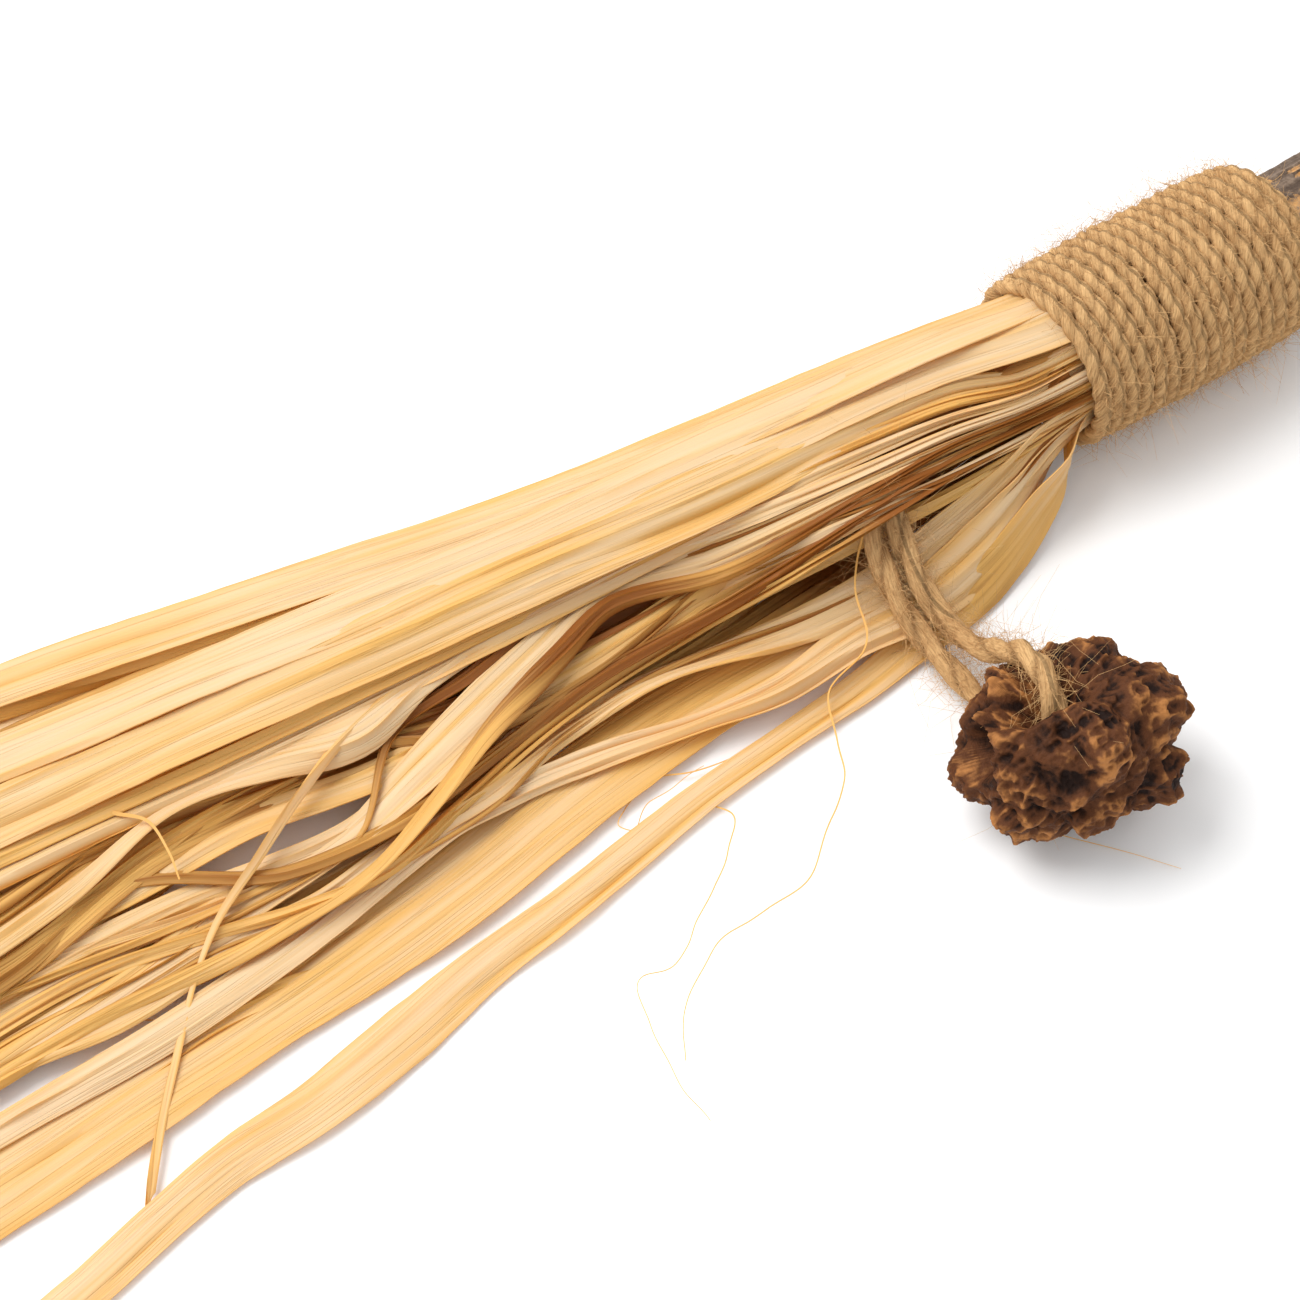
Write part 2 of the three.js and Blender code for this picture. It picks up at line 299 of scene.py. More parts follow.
@dataclass
class Workshop:
    """Turns surfaces into pieces on the frame.

    Attributes:
        layout: Where the toy's layout lies.
        finishes: The materials, by material slot.
    """

    layout: Layout
    finishes: Mapping[str, bpy.types.Material]

    def piece(
        self, name: str, surface: Surface, slot: str, replaces: Sequence[str] = (), crease: float = 60.0
    ) -> bpy.types.Object:
        """Makes a piece that rides on the toy's one body.

        Args:
            name: The piece's name.
            surface: Its shape.
            slot: Its material slot.
            replaces: The CAD nodes that it stands for.
            crease: The angle in degrees from which an edge is sharp.

        Returns:
            The piece.
        """
        mesh = bpy.data.meshes.new(name)
        points = self.layout.place(surface.points)
        mesh.from_pydata(points.tolist(), [], surface.quads.tolist() + surface.caps)
        grain = mesh.attributes.new("grain", "FLOAT_VECTOR", "POINT")
        grain.data.foreach_set("vector", surface.grain.ravel())
        mesh.attributes.new("tone", "FLOAT", "POINT").data.foreach_set("value", surface.tone)
        mesh.polygons.foreach_set("use_smooth", np.ones(len(mesh.polygons), bool))
        mesh.set_sharp_from_angle(angle=math.radians(crease))
        mesh.materials.append(self.finishes[slot])
        piece = bpy.data.objects.new(name, mesh)
        bpy.context.scene.collection.objects.link(piece)
        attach(piece, "root")
        if replaces:
            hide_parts(*replaces)
        log.info("%s: %d points", name, len(surface.points))
        return piece


# --------------------------------------------------------------------------- shader maths


Number = Union[float, "Value"]


class Value:
    """A node's socket, in sums that add the Math nodes they need."""

    def __init__(self, tree: "Tree", socket: bpy.types.NodeSocket) -> None:
        """Wraps a socket of a tree's node."""
        self.tree = tree
        self.socket = socket

    def _maths(self, operation: str, first: Number, second: Number) -> "Value":
        """The result of a Math node on two operands."""
        return self.tree.node("ShaderNodeMath", {"operation": operation}, {0: first, 1: second})

    def __add__(self, other: Number) -> "Value":
        """self + other."""
        return self._maths("ADD", self, other)

    __radd__ = __add__

    def __sub__(self, other: Number) -> "Value":
        """self - other."""
        return self._maths("SUBTRACT", self, other)

    def __rsub__(self, other: Number) -> "Value":
        """other - self."""
        return self._maths("SUBTRACT", other, self)

    def __mul__(self, other: Number) -> "Value":
        """self * other."""
        return self._maths("MULTIPLY", self, other)

    __rmul__ = __mul__

    def __pow__(self, power: float) -> "Value":
        """self to a power."""
        return self._maths("POWER", self, power)

    def __abs__(self) -> "Value":
        """The size of self."""
        return self._maths("ABSOLUTE", self, 0.0)

    def stepped(self, low: float, high: float) -> "Value":
        """0 below low, 1 above high, with a smooth change between them."""
        return self.tree.node(
            "ShaderNodeMapRange",
            {"interpolation_type": "SMOOTHSTEP"},
            {"Value": self, "From Min": low, "From Max": high},
        )

    def scaled(self, x: float, y: float, z: float) -> "Value":
        """A vector's three parts, each times its own number."""
        return self.tree.node("ShaderNodeVectorMath", {"operation": "MULTIPLY"}, {0: self, 1: (x, y, z)})


class Tree:
    """A new material's nodes."""

    def __init__(self, name: str) -> None:
        """Starts an empty material."""
        self.material = bpy.data.materials.new(name)
        self.material.use_nodes = True
        self.nodes = self.material.node_tree.nodes
        self.links = self.material.node_tree.links
        self.nodes.clear()

    def node(
        self,
        kind: str,
        settings: Mapping[str, Any] | None = None,
        inputs: Mapping[Any, Any] | None = None,
        output: Any = 0,
    ) -> Value:
        """Adds a node and gives one of its outputs.

        Args:
            kind: The node's type.
            settings: Its properties.
            inputs: Its sockets' values or links, by name or number.
            output: The name or number of the socket that is wanted.

        Returns:
            That output.
        """
        return Value(self, self._added(kind, settings or {}, inputs or {}).outputs[output])

    def _added(self, kind: str, settings: Mapping[str, Any], inputs: Mapping[Any, Any]) -> bpy.types.Node:
        """Adds a node, with its properties and its sockets' values or links."""
        made = self.nodes.new(kind)
        for key, value in settings.items():
            setattr(made, key, value)
        for key, value in inputs.items():
            if isinstance(value, Value):
                self.links.new(value.socket, made.inputs[key])
            elif isinstance(value, tuple) and len(made.inputs[key].default_value) == 4:
                made.inputs[key].default_value = (*value, 1.0)
            else:
                made.inputs[key].default_value = value
        return made

    def grain(self) -> Value:
        """The piece's own grain: two distances over its surface, and its number."""
        return self.node("ShaderNodeAttribute", {"attribute_name": "grain"}, output="Vector")

    def tone(self) -> Value:
        """The piece's own tone."""
        return self.node("ShaderNodeAttribute", {"attribute_name": "tone"}, output="Fac")

    def place(self) -> Value:
        """The place on the object, in metres."""
        return self.node("ShaderNodeTexCoord", output="Object")

    def noise(self, vector: Value, pattern: "Pattern") -> Value:
        """Noise from 0 to 1 over a vector."""
        sockets = {
            "Vector": vector.scaled(*pattern.scale),
            "Scale": 1.0,
            "Detail": pattern.detail,
            "Roughness": pattern.roughness,
        }
        return self.node("ShaderNodeTexNoise", None, sockets)

    def mixed(self, share: Number, low: Any, high: Any) -> Value:
        """The colour a share of the way from low to high."""
        settings = {"data_type": "RGBA", "clamp_factor": True}
        return self.node("ShaderNodeMix", settings, {0: share, 6: low, 7: high}, output=2)

    def surface(
        self, base: Value, roughness: Number, specular: float, height: Value, relief: float, strength: float
    ) -> Value:
        """A bumpy surface that lets no light through.

        Args:
            base: Its colour.
            roughness: Its roughness.
            specular: How strongly it reflects, against the usual 0.5.
            height: What raises it.
            relief: How far, in metres.
            strength: How much of that shows.

        Returns:
            The shader.
        """
        bump = {"Height": height, "Distance": relief, "Strength": strength}
        sockets = {
            "Base Color": base,
            "Roughness": roughness,
            "Normal": self.node("ShaderNodeBump", None, bump),
            "Specular IOR Level": specular,
        }
        return self.node("ShaderNodeBsdfPrincipled", None, sockets)

    def finished(self, shader: Value) -> bpy.types.Material:
        """Ends the tree with a shader."""
        self._added("ShaderNodeOutputMaterial", {}, {"Surface": shader})
        return self.material


@dataclass(frozen=True)
class Pattern:
    """Noise over a vector.

    Attributes:
        scale: How fine it is along each of the vector's parts; for a grain these are along the piece,
            across it, and from piece to piece.
        detail: How many finer layers it has.
        roughness: How strong each layer is against the last.
    """

    scale: tuple[float, float, float]
    detail: float = 2.0
    roughness: float = 0.5


@dataclass(frozen=True)
class RaffiaFinish:
    """Dried palm leaf: satin, with fine fibres along it, and letting some light through.

    Its grain is the distance along and across a strip in millimetres, and the strip's number. Its
    tone is the strip's colour, from pale at 0 over golden at 1 to brown at 2, with painted shade
    added at the strips' edges, along their folds and in the bundle's hollows, and a painted glow
    added near the table.
    """

    pale: Colour = (0.88, 0.71, 0.46)
    golden: Colour = (0.86, 0.53, 0.15)
    # brown is both the strips' own brown and the colour of painted shade between and under them.
    brown: Colour = (0.29, 0.10, 0.018)
    glow: Colour = (0.97, 0.63, 0.17)
    let_through: float = 0.33
    streaks: Pattern = Pattern((0.02, 1.1, 3.0), 3.0)
    fibres: Pattern = Pattern((0.05, 5.0, 5.0), 2.0, 0.6)
    blotches: Pattern = Pattern((0.06, 0.25, 7.0))
    veins: Pattern = Pattern((0.016, 0.75, 9.0), 3.0, 0.6)
    vein_width: float = 0.03
    specular: float = 0.3
    relief: float = 0.00024

    def material(self) -> bpy.types.Material:
        """Streaks of the strip's colour, and darker fibres, over a satin and a translucent layer; towards
        brown the colour is partly painted shade.

        Returns:
            The material.
        """
        tree = Tree("raffia")
        grain = tree.grain()
        streaks = tree.noise(grain, self.streaks)
        fibres = tree.noise(grain, self.fibres)
        blotches = tree.noise(grain, self.blotches)
        veins = 1.0 - abs(tree.noise(grain, self.veins) - 0.5).stepped(0.0, self.vein_width)
        depth = tree.tone() + (streaks - 0.5) * 1.3 + (blotches - 0.5) * 0.7 + veins * 0.14
        body = tree.mixed(depth.stepped(-0.1, 1.2), self.pale, self.golden)
        # Blends to brown for darker fibres and browner strips, and for painted shade where the tone passes 1.
        dark = (fibres * streaks).stepped(0.28, 0.62) * 0.26 + depth.stepped(1.0, 2.2)
        base = tree.mixed(dark, body, self.brown)
        height = fibres * 0.4 + streaks - veins * 0.3
        satin = tree.surface(base, fibres * 0.25 + 0.38, self.specular, height, self.relief, 0.7)
        through = tree.node("ShaderNodeBsdfTranslucent", None, {"Color": self.glow})
        layered = tree.node("ShaderNodeMixShader", None, {0: self.let_through, 1: satin, 2: through})
        return tree.finished(layered)


@dataclass(frozen=True)
class JuteFinish:
    """Jute twine: matt, hairy fibres that wind along the yarn.

    Its grain is the distance along the twine and round it in millimetres, and the yarn's number. Its
    tone is how deep in the twine's groove a point lies, from 0 outside to 1, and paints shade there.
    """

    light: Colour = (0.76, 0.48, 0.22)
    dark: Colour = (0.40, 0.21, 0.08)
    # groove is the colour of painted shade in the groove between the yarns, and of dark stray fibres.
    groove: Colour = (0.15, 0.065, 0.022)
    fibres: Pattern = Pattern((0.5, 4.5, 1.0), 3.0, 0.6)
    patches: Pattern = Pattern((0.09, 0.2, 1.0))
    stray: Pattern = Pattern((0.9, 1.7, 4.0), 2.0, 0.6)
    roughness: float = 0.85
    specular: float = 0.15
    relief: float = 0.00035

    def material(self) -> bpy.types.Material:
        """Light and dark fibres, with painted shade darkest in the groove, and dark stray fibres.

        Returns:
            The material.
        """
        tree = Tree("jute")
        grain = tree.grain()
        fibres = tree.noise(grain, self.fibres)
        patches = tree.noise(grain, self.patches)
        stray = tree.noise(grain, self.stray)
        body = tree.mixed((fibres * 0.8 + patches * 0.4).stepped(0.36, 0.8), self.dark, self.light)
        # Painted shade: darker by how deep in the groove a point lies; stray fibres darken too.
        base = tree.mixed(tree.tone() ** 1.5 * 0.7 + stray.stepped(0.62, 0.8) * 0.6, body, self.groove)
        height = fibres + stray * 0.6
        return tree.finished(tree.surface(base, self.roughness, self.specular, height, self.relief, 0.9))


@dataclass(frozen=True)
class FruitFinish:
    """A dried gall: brown, with painted shade in its folds and a painted orange-brown highlight on
    its ridges.

    Its tone is how far a point stands out from what is round it, from 0 in a fold to 1 on a ridge,
    and paints shade in the folds and highlights on the ridges.
    """

    # fold is painted shade and ridge a painted highlight; body is the gall's own brown.
    fold: Colour = (0.012, 0.004, 0.002)
    body: Colour = (0.095, 0.032, 0.011)
    ridge: Colour = (0.42, 0.175, 0.052)
    specks: Pattern = Pattern((1500.0, 1500.0, 1500.0), 3.0, 0.65)
    patches: Pattern = Pattern((260.0, 260.0, 260.0), 3.0, 0.55)
    specular: float = 0.14
    relief: float = 0.0004

    def material(self) -> bpy.types.Material:
        """Colour by the tone, painted shade in the folds and painted highlights on the ridges, broken up by
        noise, with a slight dry shine.

        Returns:
            The material.
        """
        tree = Tree("dried_fruit")
        place = tree.place()
        specks = tree.noise(place, self.specks)
        patches = tree.noise(place, self.patches)
        tone = tree.tone() + (specks - 0.5) * 0.5 + (patches - 0.5) * 0.55
        low = tree.mixed(tone.stepped(0.0, 0.46), self.fold, self.body)
        base = tree.mixed(tone.stepped(0.5, 1.1), low, self.ridge)
        height = specks + patches * 0.8
        return tree.finished(tree.surface(base, 0.8 - specks * 0.25, self.specular, height, self.relief, 0.6))


@dataclass(frozen=True)
class BarkFinish:
    """Thin flaking bark over orange-tan wood, and pale wood with rings on the sawn end.

    Its grain is the distance along the stick and round it in millimetres, and 1 on the sawn ends. Its
    tone is how much bark is left, from 0 where it has flaked off to 1.
    """

    bark: Colour = (0.085, 0.055, 0.038)
    weathered: Colour = (0.24, 0.17, 0.12)
    wood: Colour = (0.62, 0.33, 0.12)
    sawn: Colour = (0.72, 0.50, 0.27)
    ring: Colour = (0.40, 0.22, 0.09)
    fissures: Pattern = Pattern((0.12, 0.9, 0.0), 4.0, 0.65)
    specks: Pattern = Pattern((1800.0, 1800.0, 1800.0), 3.0, 0.6)
    rings_a_millimetre: float = 7.0 / (2 * math.pi)
    specular: float = 0.3
    relief: float = 0.0004

    def material(self) -> bpy.types.Material:
        """Bark, wood or a sawn end, by the tone and the grain.

        Returns:
            The material.
        """
        tree = Tree("bark")
        grain = tree.grain()
        reach = tree.node("ShaderNodeSeparateXYZ", None, {0: grain}, output=1)
        cut = tree.node("ShaderNodeSeparateXYZ", None, {0: grain}, output=2)
        fissures = tree.noise(grain, self.fissures)
        specks = tree.noise(tree.place(), self.specks)
        skin = tree.mixed((fissures * 0.7 + specks * 0.4).stepped(0.42, 0.72), self.bark, self.weathered)
        inner = tree.mixed(specks.stepped(0.35, 0.7), self.wood, self.weathered)
        side = tree.mixed((tree.tone() + (specks - 0.5) * 0.4).stepped(0.4, 0.55), inner, skin)
        phase = (reach + specks * 0.25) * (2 * math.pi * self.rings_a_millimetre)
        rings = tree.node("ShaderNodeMath", {"operation": "SINE"}, {0: phase}).stepped(0.1, 1.0)
        end = tree.mixed(rings * 0.7 + (specks - 0.5) * 0.6, self.sawn, self.ring)
        base = tree.mixed(cut.stepped(0.4, 0.6), side, end)
        height = fissures + specks * 0.5
        return tree.finished(tree.surface(base, 0.85 - specks * 0.2, self.specular, height, self.relief, 0.7))


# --------------------------------------------------------------------------- twine and hairs


@dataclass(frozen=True)
class Twine:
    """Two yarns laid round each other.

    Attributes:
        radius: Of the circle round both yarns, in millimetres.
        lay: The length of one full turn of the yarns.
        core: How far a yarn's middle is from the twine's, as a share of the radius.
        seed: Picks its unevenness.
    """

    radius: float
    lay: float
    core: float
    seed: int

    UNEVEN = 0.05
    WANDER = 0.8
    WIDEST = 1.02

    def surface(self, path: Array, side: Array, around: int) -> Surface:
        """The twine along a path.

        Round its middle the outline of two touching circles turns with the distance along the path:
        at an angle a from the yarns' line it is core |cos a| + sqrt(yarn^2 - core^2 sin^2 a).

        Args:
            path: The twine's middle, evenly spaced.
            side: A direction across the path, one a point.
            around: Points round the twine.

        Returns:
            The surface.
        """
        run = unit(np.gradient(path, axis=0))
        side = unit(side - run * np.sum(side * run, axis=-1, keepdims=True))
        up = np.cross(run, side)
        along = path_lengths(path)
        noise = Noise(self.seed)
        turn = np.linspace(0, 2 * np.pi, around, endpoint=False)[None, :]
        twist = 2 * np.pi * along / self.lay + self.WANDER * noise.along(along / 9, 1)
        from_yarns = turn - twist[:, None]
        yarn = 1 - self.core
        reach = self.core * np.abs(np.cos(from_yarns))
        reach = reach + np.sqrt(yarn**2 - self.core**2 * np.sin(from_yarns) ** 2)
        uneven = 1 + self.UNEVEN * noise.along(along / 3, 2)[:, None]
        far = np.broadcast_to(along[:, None], from_yarns.shape)
        at = np.stack([far / 1.3, np.cos(from_yarns) * 3, np.sin(from_yarns) * 3], axis=-1)
        radius = self.radius * (np.minimum(reach * uneven, self.WIDEST) + self.UNEVEN * noise.at(at))
        rings = (
            path[:, None, :]
            + side[:, None, :] * (radius * np.cos(turn))[..., None]
            + up[:, None, :] * (radius * np.sin(turn))[..., None]
        )
        round_it = self.radius * from_yarns
        grain = np.stack([far - round_it * 0.8, round_it + far * 0.5, np.full_like(far, self.seed)], axis=-1)
        # The tone is how deep in the groove between the yarns a point lies: the finish paints shade by it.
        return Surface.rings(rings, grain, smoothstep(1 - reach, 0.06, 0.42))


FUZZ_NUMBER = 9.0
THREAD_NUMBER = 200.0


def hairs(paths: Array, radius: Array, number: float, tone: float) -> Surface:
    """Thin three-sided hairs along paths, which taper as their radius says.

    Args:
        paths: Points in millimetres, by hair and by place along it.
        radius: One value by hair and place.
        number: Their number in the grain.
        tone: The tone of all of them.

    Returns:
        All the hairs as one surface.
    """
    count, steps = paths.shape[:2]
    run = unit(np.gradient(paths, axis=1))
    reference = np.where(np.abs(run[..., 2:3]) > 0.8, [1.0, 0.0, 0.0], [0.0, 0.0, 1.0])
    side = unit(np.cross(run, reference))
    up = np.cross(run, side)
    turn = np.array([0, 2, 4]) * np.pi / 3
    ring = (
        paths[:, :, None, :]
        + radius[:, :, None, None] * np.cos(turn)[:, None] * side[:, :, None, :]
        + radius[:, :, None, None] * np.sin(turn)[:, None] * up[:, :, None, :]
    )
    starts = (np.arange(count) * steps * 3)[:, None, None]
    quads = (grid_quads(steps, 3)[None] + starts).reshape(-1, 4)
    first = starts.ravel()
    last = first + (steps - 1) * 3
    caps = np.concatenate([first[:, None] + [2, 1, 0], last[:, None] + [0, 1, 2]]).tolist()
    along = np.broadcast_to(np.linspace(0, 10, steps)[None, :, None], ring.shape[:3])
    each = np.broadcast_to(np.arange(count)[:, None, None] * 0.7, ring.shape[:3])
    grain = np.stack([along, each, np.full(ring.shape[:3], number)], axis=-1)
    return Surface(ring.reshape(-1, 3), quads, caps, grain.reshape(-1, 3), np.full(ring.size // 3, tone))


@dataclass(frozen=True)
class Fuzz:
    """Loose fibres that stand out of twine.

    Attributes:
        count: How many there are.
        length: The mean length in millimetres.
        thickness: Of a fibre, in millimetres.
        seed: Picks their places.
    """

    count: int
    length: float
    thickness: float
    seed: int

    STEPS = 6
    SPREAD = (2.2, 0.45)
    LONG_SHARE, LONGER, LONGEST = 0.05, 2.4, 3.0
    BEND, CURL, CURLS = 0.6, 0.16, 1.25
    ROOT, TIP = 0.85, 0.35

    def surface(self, path: Array, reach: float, lean: Array | None = None) -> Surface:
        """Fibres that start at random places on a twine and curl away from it.

        Each is a curve: its root, plus its length times t outwards and along the twine, plus t^2 of a
        random bend, plus a random wave.

        Args:
            path: The twine's middle.
            reach: The twine's radius.
            lean: For each point of the path, the way that its fibres mostly grow.

        Returns:
            The fibres as one surface.
        """
        random = np.random.default_rng(self.seed)
        run = unit(np.gradient(path, axis=0))
        at = random.integers(0, len(path), self.count)
        wild = unit(random.normal(size=(self.count, 3)))
        out = wild - run[at] * np.sum(wild * run[at], axis=-1, keepdims=True)
        if lean is not None:
            out = out + lean[at] * 1.2
        out = unit(out)
        longer = np.where(random.uniform(size=(self.count, 1)) < self.LONG_SHARE, self.LONGER, 1.0)
        spread = random.gamma(*self.SPREAD, (self.count, 1))
        length = self.length * np.minimum(spread * longer, self.LONGEST)
        around = np.cross(run[at], out) * random.normal(size=(self.count, 1))
        along = run[at] * random.normal(size=(self.count, 1)) * 1.5 + around
        bend = random.normal(size=(self.count, 3)) * self.BEND
        curl = random.normal(size=(self.count, 3)) * self.CURL
        t = np.linspace(0, 1, self.STEPS)[None, :, None]
        paths = (
            path[at][:, None, :]
            + out[:, None, :] * reach * self.ROOT
            + length[:, :, None] * (t * unit(out * 0.55 + along)[:, None, :] + t**2 * bend[:, None, :])
            + length[:, :, None] * np.sin(2 * self.CURLS * np.pi * t) * curl[:, None, :]
        )
        paths[..., 2] = np.maximum(paths[..., 2], self.thickness)
        taper = np.linspace(1, self.TIP, self.STEPS)[None, :] * self.thickness / 2
        return hairs(paths, np.broadcast_to(taper, paths.shape[:2]), FUZZ_NUMBER, 0.0)


@dataclass
class Binding:
    """The twine wound in touching turns over the stick and the tassel's neck."""

    workshop: Workshop
    length: float = BINDING_LENGTH
    turns: int = BINDING_TURNS
    twine: Twine = Twine(radius=0.98, lay=4.4, core=0.24, seed=4)
    fuzz: Fuzz = Fuzz(count=5600, length=1.15, thickness=0.055, seed=5)
    fuzz_reach: float = 0.85
    steps_a_turn: int = 150
    around: int = 14
    seed: int = 11
    belly: float = 0.3
    shoulder: float = 0.2
    shoulder_length: float = 6.0

    def axis(self, x: Array) -> Array:
        """The height of the toy's axis at x: it drops evenly to the stick's cut end."""
        rest = 0.8 * self.length
        return mix(self.winding(rest) + TWINE_RADIUS, STICK_RADIUS, (x - rest) / (STICK_END - rest))

    def winding(self, x: Array) -> Array:
        """The radius of the winding at x: with a slight belly, and a shoulder at its outer end."""
        inside = OUTER_RING_RADIUS + STRIP_HALF_THICKNESS + BINDING_SLACK + TWINE_RADIUS
        belly = self.belly * np.sin(np.pi * np.asarray(x) / self.length)
        return inside + belly - self.shoulder * smoothstep(x, self.length - self.shoulder_length, self.length)

    def path(self) -> tuple[Array, Array]:
        """The winding's helix, a little uneven, and the way out from its axis.

        The turn's angle grows evenly with x, and noise moves x and the radius by up to 0.3 mm.

        Returns:
            The points, and the outward direction at each.
        """
        noise = Noise(self.seed)
        share = np.linspace(0, 1, self.turns * self.steps_a_turn)
        turn = 2 * np.pi * self.turns * share - np.pi / 2
        x = mix(TWINE_RADIUS, self.length - TWINE_RADIUS, share)
        x = x + 0.28 * noise.along(share * self.turns * 0.9, 1) * np.sin(np.pi * share) ** 0.3
        radius = self.winding(x) - 0.12 + 0.14 * noise.along(share * self.turns * 1.7, 2)
        out = np.stack([np.zeros_like(turn), np.cos(turn), np.sin(turn)], axis=-1)
        points = np.stack([x, np.zeros_like(x), self.axis(x)], axis=-1) + radius[:, None] * out
        return points, out

    def build(self) -> None:
        """Makes the winding and its fibres, both pressed flat where they meet the table."""
        points, out = self.path()
        points[:, 2] = np.maximum(points[:, 2], TWINE_RADIUS + 0.1)
        wound = self.twine.surface(points, out, self.around)
        fibres = self.fuzz.surface(points, self.fuzz_reach, lean=out)
        for surface in (wound, fibres):
            surface.points[:, 2] = np.maximum(surface.points[:, 2], 0.0)
        self.workshop.piece("twine_winding", wound, "jute", ["twine_binding"])
        self.workshop.piece("twine_fibres", fibres, "jute")


# The middle of the cord, from one end in the binding through the fruit to the other.
CORD_ROUTE = [
    (-4.5, 1.7, 11.2), (-11, 1.6, 10.9), (-16.5, -0.2, 10.3), (-20, -3.6, 9.2), (-21.8, -7.6, 7.6),
    (-22.4, -11.8, 5.2), (-22.4, -16.2, 3.7), (-22.4, -20.4, 5), (-22.7, -24, 8.6), (-23.1, -27.3, 12.4),
    (-23.8, -30.8, 14.2), (-24.6, -33.8, 12.9), (-25.4, -34.9, 9.7), (-25.9, -33.2, 6.6),
    (-25.7, -29.4, 4.9), (-25.2, -25, 3.4), (-24.8, -20.6, 2.4), (-24.8, -16.2, 2.4), (-25, -12, 4.1),
    (-24.6, -8, 6.5), (-23.2, -4.6, 7.9), (-19.6, -2.5, 8.2), (-14, -1.9, 8.3), (-8, -1.4, 8.3),
    (-4.5, -1.2, 8.3),
]


CORD_EXIT = 3
CORD_FUZZY = slice(40, 300)
CORD_OVER_FRUIT = slice(7, 13)


@dataclass
class FruitCord:
    """The doubled jute cord that holds the fruit: one length, out of the tassel and back."""

    workshop: Workshop
    diameter: float = 2.1
    steps: int = 330
    around: int = 18
    twine: Twine = Twine(radius=1.24, lay=13.0, core=0.28, seed=8)
    fuzz: Fuzz = Fuzz(count=2400, length=2.0, thickness=0.05, seed=6)
    fuzz_reach: float = 0.9

    def build(self) -> None:
        place = self.workshop.layout.place
        path = even_path(np.array(CORD_ROUTE), self.steps)
        side = np.cross(unit(np.gradient(path, axis=0)), np.array([0.7, -0.7, 0.0]))
        fibres = self.fuzz.surface(path[CORD_FUZZY], self.fuzz_reach)
        fuzz = self.workshop.piece("fruit_cord_fibres", fibres, "jute")
        surface = self.twine.surface(path, side, self.around)
        cord = self.workshop.piece("fruit_cord_twine", surface, "jute", ["fruit_cord"])
        tuple(place(CORD_ROUTE[CORD_EXIT]))
        float(path_lengths(path)[-1]) * MM
        self.diameter * MM
        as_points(place(path[::3]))


# --------------------------------------------------------------------------- raffia


@dataclass(frozen=True)
class Habit:
    """How a strip lies.

    Attributes:
        arch: The rise of its middle, as a share of its width.
        pleats: How many lengthwise folds it has.
        depth: How deep they are, in millimetres.
        sway: How far it turns about its run, in radians.
    """

    arch: float
    pleats: int
    depth: float
    sway: float


class Lie(Enum):
    """The ways in which strips lie."""

    FLAT = Habit(arch=0.03, pleats=5, depth=0.32, sway=0.12)
    PLEATED = Habit(arch=0.06, pleats=6, depth=0.7, sway=0.3)
    ROLLED = Habit(arch=0.28, pleats=4, depth=0.5, sway=1.0)


